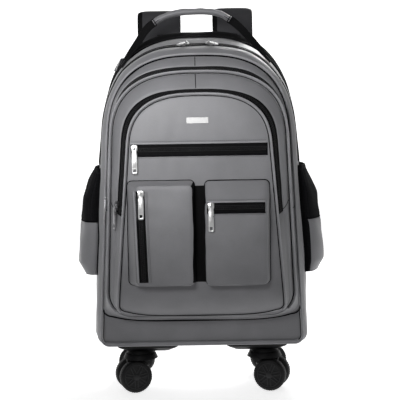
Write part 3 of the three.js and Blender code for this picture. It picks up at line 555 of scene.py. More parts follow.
def netting(name, colour, cell=2.2):
    """Knitted mesh: rows of small round holes, drawn in colour, whose darker middles are painted shade
    """
    material, tree, shader, place = new_material(name)
    cells = tree.nodes.new("ShaderNodeTexVoronoi")
    feed(tree, cells, {"Scale": 1 / (cell * MM), "Randomness": 0.15, "Vector": place})
    hole = cells.outputs["Distance"]
    feed(tree, shader, {
        # Hole middles are drawn darker as painted shade
        "Base Color": ramp_node(tree, hole, colour, [(0.2, 0.25), (0.42, 1), (0.7, 1.7)]),
        "Roughness": 0.85,
        "Specular IOR Level": 0.06,
        "Normal": bump_node(tree, hole, 0.8, 0.8 * MM),
    })
    return material


def metal(name, colour, roughness=0.2, brushed=0.0):
    """Metal with faint wear; brushed sets how deep the lines of its brushing are"""
    material, tree, shader, place = new_material(name)
    wear = noise_node(tree, place, 140, 4)
    feed(tree, shader, {
        "Base Color": ramp_node(tree, wear, colour, [(0.35, 0.86), (0.65, 1)]),
        "Metallic": 1.0,
        "Roughness": math_node(tree, "MULTIPLY_ADD", wear, 0.18, roughness),
    })
    if brushed:
        lines = wave_node(tree, place, 500, "X", 6.0)
        feed(tree, shader, {"Normal": bump_node(tree, lines, brushed, 0.05 * MM)})
    return material


def moulded(name, colour, roughness=0.4, grain=0.12, specular=0.25):
    """Moulded plastic or rubber with a fine spark-eroded grain"""
    material, tree, shader, place = new_material(name)
    broad = noise_node(tree, place, 35, 3)
    feed(tree, shader, {
        "Base Color": ramp_node(tree, broad, colour, [(0.3, 0.8), (0.7, 1.25)]),
        "Roughness": math_node(tree, "MULTIPLY_ADD", broad, 0.2, roughness - 0.1),
        "Specular IOR Level": specular,
        "Normal": bump_node(tree, noise_node(tree, place, 1400, 3), grain, 0.1 * MM),
    })
    return material


GREY = (0.2, 0.2, 0.211)
MAT = {
    "cloth": woven("cloth", GREY, roughness=0.52, specular=0.5),
    # The piping is the cloth's own grey; drawing it 1.35 times lighter is a painted highlight on its
    # rounded cord
    "piping": woven("piping", shade(GREY, 1.35), thread=0.5, sheen=0.3),
    "dark_cloth": woven("dark_cloth", (0.04, 0.04, 0.043), roughness=0.75, thread=0.9,
                        specular=0.15),
    "seam": woven("seam", (0.006, 0.006, 0.007), roughness=0.85, thread=0.4, sheen=0,
                  specular=0.03),
    # Near-black painted shade for the shadowed gap between the front pockets, and for the pocket walls
    # that face it
    "painted_gap_shade": woven("painted_gap_shade", (0.005, 0.005, 0.0055), roughness=0.8, sheen=0,
                       specular=0.08),
    "strap_cloth": woven("strap_cloth", (0.042, 0.042, 0.046), roughness=0.7, thread=0.8,
                         specular=0.2),
    "thread": woven("thread", (0.1, 0.1, 0.107), thread=0.3),
    "tape": webbing("tape", (0.004, 0.004, 0.0045), rib=1.0),
    "webbing": webbing("webbing", (0.005, 0.005, 0.0055)),
    "net": netting("net", (0.006, 0.006, 0.007)),
    "pad_net": netting("pad_net", (0.022, 0.022, 0.025), cell=3.0),
    "chrome": metal("chrome", (0.96, 0.96, 0.96), roughness=0.22),
    "dark_chrome": metal("dark_chrome", (0.3, 0.3, 0.31)),
    "plate": metal("plate", (0.44, 0.44, 0.44), roughness=0.42),
    "aluminium": metal("aluminium", (0.7, 0.71, 0.73), roughness=0.28, brushed=0.15),
    "plastic": moulded("plastic", (0.005, 0.005, 0.0055), roughness=0.5, specular=0.18),
    "teeth": moulded("teeth", (0.008, 0.008, 0.009), roughness=0.5),
    "tread": moulded("tread", (0.009, 0.009, 0.0095), roughness=0.6, grain=0.3),
    "hub": moulded("hub", (0.002, 0.002, 0.002), roughness=0.7, specular=0.05),
    "spokes": moulded("spokes", (0.02, 0.02, 0.021), roughness=0.45),
}


# Main forms: the body and the two compartments in front of it

# The seams' piping and sewn lines are open along the bottom up to this point of an outline
OPEN_FROM = BOTTOM_STEPS + CORNER_STEPS // 2
# Heights between which the zips' grooves in the body fade in
GROOVE_FADE = (0.5806, 0.6774)
TRAY_GAP = 0.4 * MM
BODY_STEPS = 72
WELL_DEPTH = 120 * MM
TOOTH_PITCH = 1.5 * MM
TOOTH_HEIGHT = 0.9 * MM


def face_shares(steps):
    """Shares from near a face's middle to its seam"""
    return np.linspace(0.02, 1, steps) ** 0.85


def swollen_face(seam, steps, relief, power, tuck, tuck_power):
    """Rings over a face from near its middle to its seam, swollen forward by a relief that
    fades out towards the seam, and tucked in along the seam"""
    edge = ring(seam)
    middle = (seam["bottom"] + seam["top"]) / 2
    shares = face_shares(steps)[:, None]
    x = edge[:, 0] * shares
    z = middle + (edge[:, 2] - middle) * shares
    face = np.stack([x, seam_y(seam, z), z], -1)
    face[..., 1] += shares**tuck_power * tuck - relief(face) * (1 - shares**power)
    return face


def shell_piece(name, grid, depth, materials, **options):
    """A shell over rows of rings, closed with a fan at its first row, with a thickness"""
    rows, cols = grid.shape[:2]
    faces = grid_faces(rows, cols, wrap=True)
    points = np.concatenate([grid.reshape(-1, 3), grid[0].mean(0)[None]])
    faces += [[rows * cols, (i + 1) % cols, i] for i in range(cols)]
    return thick(piece(name, points, faces, materials, **options), depth)


def body_relief(points):
    """Forward swell of the body's face, only at its foot"""
    return smooth(height_at(0.14), height_at(0.02), points[..., 2]) * 1.5 * MM


def front_relief(points):
    """Forward swell of the front panel: fuller above the slip zip, drawn in along it"""
    x, z = points[..., 0], points[..., 2]
    upper = bump(z, SLIP_Z + 0.045, 0.04) * bump(x, 0, 0.08) * 2.2
    drawn = bump(z, SLIP_Z, 0.008) * 1.6 * smooth(0.115, 0.1, np.abs(x))
    low = bump(z, height_at(0.17), 0.02) * 1.2
    waves = ripple(points, 0.12, 21, (1, 1, 0.7)) * 0.6
    pulls = ripple(points, 0.04, 22, (1.6, 1, 0.5)) * 0.16
    return (0.6 + upper - drawn + low + waves + pulls) * MM


def middle_relief(points):
    return (0.4 + ripple(points, 0.11, 31) * 0.5) * MM


def main_body():
    """The main shell, open at the back, with a well for the pull handle's tray"""
    depths = np.linspace(0, 1, BODY_STEPS)
    sides = Surface(np.array([ring(body_section(depth)) for depth in depths]))
    depth = depths[:, None]
    z = sides.points[..., 2]
    zips = smooth(*map(height_at, GROOVE_FADE), z)
    groove = bump(depth, MAIN_ZIP_DEPTH, 0.03) * 1.6
    wide = smooth(0.6, 0.64, depth) * smooth(0.75, 0.71, depth) * 1.2
    back = smooth(0.72, 0.8, depth) * 1.6
    pillow = bump(depth, 0.15, 0.07) * 1.6 + bump(depth, 0.47, 0.1) * 1.5
    seam = (bump(depth, 0, 0.02) + bump(depth, 1, 0.02)) * 1.2
    waves = ripple(sides.points, 0.09, 11, (1, 0.6, 1)) * 0.55
    creases = ripple(sides.points, 0.035, 12, (0.5, 1, 1)) * 0.14
    foot = smooth(height_at(0.2), height_at(0.02), z) * 2.5 * np.abs(sides.normals[..., 0])
    relief = pillow - (groove + wide + back) * zips - seam + waves + creases - foot
    sides = sides.raised(relief * MM)
    face = swollen_face(SEAMS["body"], 16, body_relief, 2.2, 1.5 * MM, 12)
    grid = np.concatenate([face[:-1], sides.points])
    obj = shell_piece("body_shell", grid, CLOTH, MAT["cloth"], nodes=["main_body"], slot="cloth")
    low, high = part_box("trolley_bezel")
    centre = ((low.x + high.x) / 2, (low.y + high.y) / 2, low.z + WELL_DEPTH / 2)
    bpy.ops.mesh.primitive_cube_add(size=1, location=centre)
    cutter = bpy.context.object
    cutter.scale = (high.x - low.x + 2 * TRAY_GAP, high.y - low.y + 2 * TRAY_GAP, WELL_DEPTH)
    bpy.context.view_layer.update()
    with_modifier(obj, "BOOLEAN", operation="DIFFERENCE", object=cutter, solver="MANIFOLD")
    bpy.data.objects.remove(cutter)
    return sides


def compartment(name, back_seam, zip_shares, relief, seed):
    """A compartment; gives its sides as a surface. zip_shares say where its zip starts, and
    where it ends on the sides and over the top, as shares of the depth."""
    near, side, top = zip_shares
    front = ring(SEAMS[name])
    rear = ring(SEAMS[back_seam], PIPING_RADIUS * 2, -0.3 * MM)
    far = side + (top - side) * np.sin(math.pi * np.arange(COUNT) / COUNT) ** 5
    steps = [near * t for t in np.linspace(0, 1, LIP_ROWS + 1)]
    steps += [near + (far - near) * t for t in np.linspace(0, 1, ZIP_ROWS + 1)[1:]]
    steps += [far + (1 - far) * t for t in np.linspace(0, 1, GUSSET_ROWS + 1)[1:]]
    rows = np.array([front + (rear - front) * (np.zeros(COUNT) + s)[:, None] for s in steps])
    index = np.arange(len(rows))[:, None]
    gusset = np.sin(math.pi * np.clip((index - ZIP_LAST) / GUSSET_ROWS, 0, 1)) ** 0.7 * 1.6
    zipped = smooth(ZIP_ENDS[name] - 12 * MM, ZIP_ENDS[name], rows[..., 2])
    sunk = smooth(LIP_ROWS - 0.8, LIP_ROWS + 0.4, index) * 1.3
    sunk = sunk * smooth(ZIP_LAST + 1, ZIP_LAST - 0.4, index)
    waves = ripple(rows, 0.1, seed) * 0.45
    fine = ripple(rows, 0.03, seed + 1, (0.6, 1, 0.6)) * 0.12
    fade = smooth(0, 3, index) * smooth(SIDE_LAST, SIDE_LAST - 3, index)
    sides = Surface(rows).raised((gusset - sunk * zipped + (waves + fine) * fade) * MM)
    face = swollen_face(SEAMS[name], 40, relief, 3.5, 1.2 * MM, 30)
    grid = np.concatenate([face[:-1], sides.points])
    shell_piece(f"{name}_compartment_shell", grid, 2 * MM, MAT["cloth"],
                nodes=[f"{name}_compartment"], slot="cloth")
    return sides


def zip_on(name, node, surface, rows, cols, tooth=3.6, lift=0.5, crown=0.5, thickness=0.9,
           teeth=True):
    """A zip on a surface: a tape between two rows, with coil teeth along its middle"""
    low, high = rows
    share = np.linspace(0, 1, 7)
    across, column = np.meshgrid(low + (high - low) * share, cols)
    rise = (lift + crown * np.sin(math.pi * share)) * MM
    slab(name, surface.at(across, column, rise),
         surface.at(across, column, rise - thickness * MM), MAT["tape"], nodes=[node],
         slot="black_webbing")
    if teeth:
        middle = (low + high) / 2
        coil(name + "_teeth", surface.at(middle, cols, (lift + crown) * MM),
             surface.normal(middle, cols), tooth)


def coil(name, middle, normal, width):
    """Two interlocked rows of coil teeth with a sewing cord over each row's outer end"""
    places, along, facing = spaced(middle, normal, TOOTH_PITCH, 1 * MM)
    across = np.cross(along, facing)
    shift = np.where(np.arange(len(places)) % 2, 0.18, -0.18)[:, None] * width * MM
    tooth = block(TOOTH_PITCH * 0.6, width * 0.8 * MM, TOOTH_HEIGHT, 0.25 * MM)
    parts = [copies(tooth, places + across * shift, along, facing)]
    for side in (-1, 1):
        path = places + across * side * width * 0.62 * MM + facing * 0.15 * MM
        parts.append(tube_parts(path[::2], 0.45 * MM, 6, up=facing[::2]))
    joined(name, parts, MAT["teeth"], slot="black_webbing")


def piping_on(name, seam, node, whole, inner_whole):
    """A piping cord just proud of a seam, with a sewn line inside and outside of it"""
    offset = PIPING_RADIUS + 0.4 * MM
    parts = []
    for path, radius, sides, closed in (
        (ring(seam, -0.6 * offset, -0.8 * offset), PIPING_RADIUS, 10, whole),
        (ring(seam, 1.9 * MM, -0.7 * MM), SEWN_RADIUS, 8, inner_whole),
        (ring(seam, -0.5 * MM, 1.6 * MM), SEWN_RADIUS, 8, whole),
    ):
        if not closed:
            path = path[OPEN_FROM:COUNT - OPEN_FROM + 1]
        parts.append(loop(path, radius, sides, closed))
    # The piping cords get the lighter grey of a painted highlight
    joined(name, parts, [MAT["piping"], MAT["seam"]], nodes=[node], slot="cloth")


def column_at(surface, row, z, right=True):
    """The column where a row of a surface passes the height z on one side"""
    line = surface.points[row]
    span = np.arange(CORNER_END, TOP) if right else np.arange(COUNT - CORNER_END, TOP, -1)
    return float(np.interp(z, line[span, 2], span))


def zips_and_seams(body, middle, front):
    for name, surface in (("front", front), ("middle", middle)):
        first = column_at(surface, ZIP_MIDDLE, ZIP_ENDS[name])
        cols = np.linspace(first, COUNT - first, 260)
        zip_on(f"{name}_zip_tape", f"{name}_zip", surface, (LIP_ROWS + 0.3, ZIP_LAST - 0.3), cols)
    rows = len(body.points) - 1
    for name, low, high, lift in (
        ("main", MAIN_ZIP_DEPTH - 0.044, MAIN_ZIP_DEPTH + 0.04, 1.0),
        ("rear", *REAR_ZIP_DEPTHS, 2.4),
    ):
        first = column_at(body, int(low * rows), ZIP_ENDS[name])
        cols = np.linspace(first, COUNT - first, 220)
        zip_on(f"{name}_zip_tape", f"{name}_zip", body, (low * rows, high * rows), cols,
               lift=lift, thickness=lift + 0.8, teeth=name == "main")
    piping_on("body_piping", SEAMS["body"], "main_piping", True, True)
    piping_on("middle_seam_piping", SEAMS["middle"], "middle_piping", False, False)
    piping_on("front_seam_piping", SEAMS["front"], "front_piping", False, True)
    gusset_seams(middle, front)


def gusset_seams(middle, front):
    """Seams over the gussets' tops, below the zips and round the back of the middle
    compartment, and the bound edge along the bottom of the body"""
    parts = []
    for surface in (middle, front):
        rows = np.linspace(ZIP_LAST + 0.4, SIDE_LAST - 0.4, 12)
        path = surface.at(rows, TOP + 0.4, 0.2 * MM)
        parts.append(tube_parts(path, 0.55 * MM, 6, up=surface.normal(rows, TOP)))
    for name, surface in (("front", front), ("middle", middle)):
        for right, lean in ((True, 2.2), (False, -2.2)):
            start = column_at(surface, ZIP_MIDDLE, ZIP_ENDS[name] - 2 * MM, right)
            rows = np.linspace(0.5, SIDE_LAST, 16)
            cols = start + np.linspace(0, lean, 16)
            path = surface.at(rows, cols, 0.1 * MM)
            parts.append(tube_parts(path, 0.5 * MM, 6, up=surface.normal(rows, cols)))
    parts.append(loop(ring(SEAMS["middle_back"], 0.6 * MM, -0.9 * MM), 0.9 * MM))
    edge = ring(SEAMS["body"], 0.5 * MM, -0.8 * MM)[:BOTTOM_STEPS + 4]
    edge = np.concatenate([edge[:0:-1] * [-1, 1, 1], edge])
    binding = tube_parts(edge, 3.4 * MM, 12, up=(0, 1, 0), flat=0.6)
    # The bound bottom edge gets the lighter grey of a painted highlight
    piece("bottom_binding", *binding, MAT["piping"], slot="cloth")
    joined("gusset_seams", parts, MAT["seam"], slot="cloth")


# Laying pieces on the shells

STRIP_LAST = 8


def tree_of(obj):
    data = obj.data
    return BVHTree.FromPolygons([v.co for v in data.vertices], [p.vertices[:] for p in data.polygons])


def front_y(tree, x, z, default):
    """Where lines going straight back meet a piece, at each x and z"""
    found = []
    for px, pz in zip(np.ravel(x), np.ravel(z)):
        hit = tree.ray_cast(Vector((px, -1, pz)), Vector((0, 1, 0)))[0]
        found.append(hit.y if hit else default)
    return np.reshape(found, np.shape(x))


def strip(tree, x, z, upright, default):
    """A surface over part of a face, for a zip: its columns run along the zip"""
    if upright:
        px, pz = np.meshgrid(np.linspace(*x, STRIP_LAST + 1), np.linspace(*z, 90), indexing="ij")
        px = px + ZIP_LEAN * (pz - np.mean(z)) / (z[1] - z[0])
    else:
        pz, px = np.meshgrid(np.linspace(*z[::-1], STRIP_LAST + 1), np.linspace(*x, 120),
                             indexing="ij")
    return Surface(np.stack([px, front_y(tree, px, pz, default), pz], -1), wrap=False)


def stitches(path, normals, step=2.8, length=1.8):
    """Parts of a line of stitches"""
    places, along, facing = spaced(path, normals, step * MM, step / 2 * MM)
    shape = block(length * MM, 0.5 * MM, 0.35 * MM, 0.12 * MM)
    return copies(shape, places + facing * 0.05 * MM, along, facing)


def curve(points, count):
    """A smooth line through the points, as count rows; further columns go along"""
    points = np.asarray(points, float)
    steps = np.linalg.norm(np.diff(points[:, :3], axis=0), axis=1)
    lengths = np.concatenate([[0], np.cumsum(steps)])
    slopes = np.gradient(points, lengths, axis=0)
    at = np.linspace(0, lengths[-1], count)
    i = np.clip(np.searchsorted(lengths, at) - 1, 0, len(points) - 2)
    h = (lengths[i + 1] - lengths[i])[:, None]
    t = (at - lengths[i])[:, None] / h
    return ((2 * t**3 - 3 * t**2 + 1) * points[i] + (t**3 - 2 * t**2 + t) * h * slopes[i]
            + (3 * t**2 - 2 * t**3) * points[i + 1] + (t**3 - t**2) * h * slopes[i + 1])


def ribbon_grids(path, normals, widths, thickness, roundness, relief=0.0):
    """Upper and lower grid of a strap; roundness sets how square its edges are"""
    along = unit(np.gradient(path, axis=0))
    normals = unit(normals - along * np.sum(normals * along, 1, keepdims=True))
    across = np.cross(normals, along)
    share = np.sin(np.linspace(-math.pi / 2, math.pi / 2, 19))
    profile = (1 - np.abs(share) ** roundness) ** 0.5
    middle = path[:, None] + across[:, None] * (share[:, None] * np.reshape(widths, (-1, 1, 1)) / 2)
    rise = profile[None, :, None] * (thickness / 2 + relief) * normals[:, None]
    fall = profile[None, :, None] * thickness / 2 * normals[:, None]
    return middle + rise, middle - fall


def ribbon(name, path, normals, widths, thickness, material, roundness=30, relief=0.0, **options):
    top, bottom = ribbon_grids(path, normals, np.broadcast_to(widths, len(path)), thickness,
                               roundness, relief)
    return slab(name, top, bottom, material, **options)


def plate(outlines, thickness, bevel):
    """Points and faces of a flat plate in x and y with bevelled edges; inner outlines are holes"""
    data = bpy.data.curves.new("plate", "CURVE")
    data.dimensions = "2D"
    data.fill_mode = "BOTH"
    data.extrude = thickness / 2 - bevel
    data.bevel_depth = bevel
    data.bevel_resolution = 1
    data.offset = -bevel
    for outline in outlines:
        spline = data.splines.new("POLY")
        spline.points.add(len(outline) - 1)
        for point, (x, y) in zip(spline.points, outline):
            point.co = (x, y, 0, 1)
        spline.use_cyclic_u = True
    obj = placed("plate", data)
    bpy.context.view_layer.update()
    mesh = bpy.data.meshes.new_from_object(obj.evaluated_get(bpy.context.evaluated_depsgraph_get()))
    points = coordinates(mesh)
    faces = [list(p.vertices) for p in mesh.polygons]
    bpy.data.objects.remove(obj)
    bpy.data.curves.remove(data)
    bpy.data.meshes.remove(mesh)
    return points, faces


def facing_front(shape, forward):
    """A plate's points and faces, stood up to face the front and moved along y"""
    points, faces = shape
    return np.stack([points[:, 0], points[:, 2] + forward, points[:, 1]], 1), faces


def rounded(x0, x1, z0, z1, corner):
    """A rounded rectangle from its bottom middle up the right side and down the left"""
    arcs = []
    for x, z, start in ((x1 - corner, z0 + corner, -90), (x1 - corner, z1 - corner, 0),
                        (x0 + corner, z1 - corner, 90), (x0 + corner, z0 + corner, 180)):
        turn = np.radians(np.linspace(start, start + 90, 7))
        arcs.append(np.stack([x + corner * np.cos(turn), z + corner * np.sin(turn)], 1))
    middle = np.array([[(x0 + x1) / 2, z0]])
    parts = []
    stops = [middle, *arcs, middle]
    share = np.linspace(0, 1, 12, endpoint=False)[1:, None]
    for before, after in zip(stops, stops[1:]):
        parts += [before, before[-1] + (after[0] - before[-1]) * share]
    return np.concatenate(parts)


def softened(node, body="bag", material="plastic", width=0.8, steps=2):
    """A node's own form with its sharp edges rounded off, by a bevel of this width in mm"""
    name = node + ("_metal" if material == "aluminium" else "_moulded")
    data = frame["nodes"][node].data.copy()
    data.name = name
    data.materials.clear()
    data.materials.append(MAT[material])
    solid = bmesh.new()
    solid.from_mesh(data)
    bmesh.ops.remove_doubles(solid, verts=solid.verts, dist=1e-6)
    bmesh.ops.dissolve_limit(solid, angle_limit=math.radians(0.5), verts=solid.verts,
                             edges=solid.edges)
    solid.to_mesh(data)
    solid.free()
    obj = placed(name, data)
    with_modifier(obj, "BEVEL", width=width * MM, segments=steps, limit_method="ANGLE",
                  angle_limit=math.radians(25), use_clamp_overlap=True)
    shaded(obj.data, 35)
    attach(obj, body)
    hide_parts(node)


# The front: patch pockets, slip zip, plate and pulls

# How far each pocket's face stands in from its edges, in mm
POCKETS = {
    "left": dict(left=14, right=4, low=2, high=6, seed=61),
    "right": dict(left=1, right=6, low=2, high=30, seed=71),
}
POCKET_CORNER = 7 * MM
FACE_ROWS = 25
FLANK_ROWS = 12


def patch_pocket(side, tree):
    """A patch pocket: a puffed face on gussets that run back to the panel, with a seam round it"""
    low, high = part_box(f"{side}_pocket")
    row = POCKETS[side]
    edge = rounded(low.x + row["left"] * MM, high.x - row["right"] * MM,
                   low.z + row["low"] * MM, high.z - row["high"] * MM, POCKET_CORNER)
    rim = rounded(low.x, high.x, low.z, high.z, POCKET_CORNER)
    rim_y = front_y(tree, rim[:, 0], rim[:, 1], high.y) + 0.4 * MM
    middle = (edge.min(0) + edge.max(0)) / 2
    grid = []
    for share in np.linspace(0.04, 1, FACE_ROWS + 1):
        puff = ((1 - share**3.5) * 1.3 - share**30 * 0.9) * MM
        grid.append(standing(middle + (edge - middle) * share, POCKET_FACE - puff))
    for t in np.linspace(0, 1, FLANK_ROWS + 1)[1:]:
        y = (POCKET_FACE + 0.9 * MM) * (1 - t) + rim_y * t
        grid.append(standing(edge + (rim - edge) * t, y))
    surface = Surface(np.array(grid))
    last = FACE_ROWS + FLANK_ROWS
    rows = np.arange(last + 1)[:, None]
    gusset = np.sin(math.pi * np.clip((rows - FACE_ROWS) / FLANK_ROWS, 0, 1)) * 1.3
    fade = smooth(0, 3, rows) * smooth(last, last - 3, rows)
    waves = ripple(surface.points, 0.05, row["seed"]) * 0.45
    fine = ripple(surface.points, 0.018, row["seed"] + 1) * 0.1
    surface = surface.raised((gusset + (waves + fine) * fade) * MM)
    inner_x = high.x if side == "left" else low.x
    # The pocket walls that face the gap between the pockets get the near-black painted shade
    marks = np.zeros((last, len(edge)), int)
    marks[FACE_ROWS + 1:, np.abs(rim[:, 0] - inner_x) < 1 * MM] = 1
    obj = shell_piece(f"{side}_pocket_shell", surface.points, 1.8 * MM,
                      [MAT["cloth"], MAT["painted_gap_shade"]], nodes=[f"{side}_pocket"], slot="cloth",
                      marks=marks.ravel().tolist() + [0] * len(edge))
    cols = np.arange(len(edge))
    cord = loop(surface.at(FACE_ROWS + 0.2, cols, 0.05 * MM), 0.6 * MM)
    piece(f"{side}_pocket_edge", *cord, MAT["cloth"], slot="cloth")
    seam = loop(surface.at(last - 0.4, cols, 0.2 * MM), 0.8 * MM, 6)
    piece(f"{side}_pocket_seam", *seam, MAT["seam"], slot="cloth")
    return obj


def painted_pocket_gap_shade(tree):
    """Painted shade between the two pockets: a near-black sheet laid on the face where the gap between
    them is in shadow
    """
    left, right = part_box("left_pocket"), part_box("right_pocket")
    surface = strip(tree, (left[1].x - 1 * MM, right[0].x + 1 * MM),
                    (left[0].z + 3 * MM, left[1].z - 8 * MM), False, left[1].y)
    rows, cols = np.indices(surface.points.shape[:2])
    slab("painted_pocket_gap_shade", surface.at(rows, cols, 0.5 * MM), surface.at(rows, cols, -0.6 * MM),
         MAT["painted_gap_shade"], slot="cloth")


def face_zip(name, node, tree, upright):
    """A flat zip on a face, with a folded lip and stitches along both sides. The first lip (the upper
    one, or the left one of an upright zip) gets the lighter piping grey as a painted highlight; the
    other keeps the cloth's grey, but below a zip that isn't upright it is black as painted shade."""
    low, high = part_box(node)
    surface = strip(tree, (low.x, high.x), (low.z, high.z), upright, high.y)
    cols = np.linspace(0, surface.points.shape[1] - 1, 160)
    margin = 0.2
    zip_on(name, node, surface, (margin, STRIP_LAST - margin), cols, tooth=4.2, crown=0.4)
    facing = surface.normal(STRIP_LAST / 2, cols)
    sewn, lips = [], []
    for row, sign in ((margin, -1), (STRIP_LAST - margin, 1)):
        inner = surface.at(row, cols, 1.0 * MM)
        outward = unit(surface.at(STRIP_LAST, cols) - surface.at(0, cols)) * sign
        lips.append(tube_parts(inner + outward * 0.6 * MM, 1.2 * MM, 8, up=facing, flat=0.55))
        sewn.append(stitches(inner + outward * 3.4 * MM - facing * 0.5 * MM, facing))
    # The first lip gets a painted highlight in the piping grey; the second, black on a zip that isn't
    # upright, is painted shade
    joined(name + "_lips", lips, [MAT["piping"], MAT["cloth"] if upright else MAT["seam"]],
           slot="cloth")
    return sewn


def nameplate():
    """A blank metal plate: a bevelled field on a base"""
    low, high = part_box("nameplate")
    base = 1.4
    parts = []
    for inset, depth, bevel, behind in ((0, base, 0.5, 0), (1.5, 1.0, 0.35, base)):
        x, z = (high.x - low.x) / 2 / MM - inset, (high.z - low.z) / 2 / MM - inset
        field = plate([rounded(-x, x, -z, z, 1.6 - inset / 3)], depth, bevel)
        parts.append(facing_front(field, -(depth / 2 + behind)))
    centre = [(low.x + high.x) / 2, high.y + 0.4 * MM, (low.z + high.z) / 2]
    joined("plate_field", parts, MAT["plate"], np.eye(3), centre, nodes=["nameplate"],
           slot="chrome", sharp=20)


# A pull's tab is narrower than this, so its length runs across that width
PULL_WIDTH = 9.3 * MM
LONG_PULL = 38
SHORT_PULL = 22
PULLS = {
    "slip_pull": (LONG_PULL, "chrome"),
    "left_pocket_pull": (LONG_PULL, "chrome"),
    "right_pocket_pull": (LONG_PULL, "chrome"),
    "front_pull": (LONG_PULL, "dark_chrome"),
    "middle_pull": (LONG_PULL, "dark_chrome"),
    "main_pull_left": (SHORT_PULL, "chrome"),
    "main_pull_right": (SHORT_PULL, "chrome"),
    "rear_pull_left": (SHORT_PULL, "dark_chrome"),
    "rear_pull_right": (SHORT_PULL, "dark_chrome"),
}


def pull_frame(node):
    """The place and directions of a pull, read from its node: side, outward and up"""
    data = frame["nodes"][node].data
    points = coordinates(data)
    ends = points[np.array([e.vertices[:] for e in data.edges])]
    spans = ends[:, 1] - ends[:, 0]
    outward = np.array(sorted(data.polygons, key=lambda face: face.area)[-1].normal)
    spans = spans[np.abs(unit(spans) @ outward) < 0.01]
    order = np.argsort(np.linalg.norm(spans, axis=1))[::-1]
    up = next(along for along in unit(spans[order])
              if np.ptp(points @ np.cross(outward, along)) < PULL_WIDTH)
    if up[2] < 0:
        up = -up
    away = points.mean(0) - np.array([0, 0.02, 0.3])
    if outward @ away < 0:
        outward = -outward
    side = np.cross(outward, up)
    reach = [points @ axis for axis in (side, outward, up)]
    place = (side * (reach[0].max() + reach[0].min()) / 2 + outward * reach[1].min()
             + up * (reach[2].max() - 6.5 * MM))
    return place, np.array([side, outward, up])


def mirrored(half):
    """An outline from its right half, which runs from the top down"""
    return half + [(-x, y) for x, y in reversed(half)]


def zip_pull(node, length, material):
    """A slider with two wings, a core and a bridge, and a bevelled tab with a slot in it"""
    place, axes = pull_frame(node)
    wing = mirrored([(2.2, 6.5), (4.4, 6), (4.5, 1), (3.1, -4.5), (2.6, -6.5)])
    parts = [facing_front(plate([wing], 1.0, 0.3), level) for level in (0.5, 2.3)]
    core = block(3.2, 1.8, 10)
    parts.append((np.asarray(core[0]) + [0, 1.4, -5], core[1]))
    turn = np.linspace(0, math.pi, 12)
    arch = np.stack([0 * turn, 2.7 + 1.7 * np.sin(turn), 1.5 + 4 * np.cos(turn)], 1)
    parts.append(tube_parts(arch, 0.75, 8, up=(1, 0, 0)))
    top, low = 4.4, 3.2 - length
    outline = mirrored([(1.2, top), (1.9, top - 0.8), (1.9, -1), (3.9, -4.5), (4, low + 2.2),
                        (3.4, low + 0.6), (1.9, low)])
    eye = mirrored([(0.9, 3.2), (0.9, 0.4)])
    hole = mirrored([(1.9, low + 7.2), (1.9, low + 2.6)])
    parts.append(facing_front(plate([outline, eye, hole], 1.5, 0.4), 3.7))
    if length == LONG_PULL:
        field = mirrored([(2.6, -6.5), (2.6, low + 9)])
        parts.append(facing_front(plate([field], 0.7, 0.3), 4.5))
    joined(node + "_metal", parts, MAT[material], axes, place, nodes=[node], slot="chrome",
           sharp=30)


# Sides: cloth pockets with net tops

# out is the bulge as a share, at heights z from the pocket's floor to its top edge
SIDE_ROWS = [(0, 0.62), (0.1, 0.98), (0.3, 1), (0.5, 0.95), (0.72, 0.79), (0.88, 0.5), (1, 0.22)]
SIDE_BULGE = 28 * MM
SIDE_GAP = 2.1 * MM
NET_GAP = 0.002
SIDE_COLUMNS = 41
SIDE_LEVELS = 34
FLOOR_LEVELS = 8
PLEATS = 17


def side_grid(side, tree, low, high, heights):
    """Rows of a side pocket from the bag's side outwards and back again, at the given heights"""
    turn = np.linspace(0, math.pi, SIDE_COLUMNS)
    half = (high.y - low.y) / 2
    y = (low.y + high.y) / 2 - half * np.cos(turn)
    rows = []
    for share in heights:
        z = low.z + (high.z - low.z) * share
        out = float(np.interp(share, *zip(*SIDE_ROWS)))
        x = []
        for depth in y:
            hit = tree.ray_cast(Vector((side * 0.4, depth, z)), Vector((-side, 0, 0)))[0]
            x.append(abs(hit.x))
        bulge = SIDE_BULGE * out * np.sin(turn).clip(0) ** 0.6
        rows.append(np.stack([side * (np.array(x) + SIDE_GAP + bulge), y, z + 0 * y], 1))
    return np.array(rows), turn


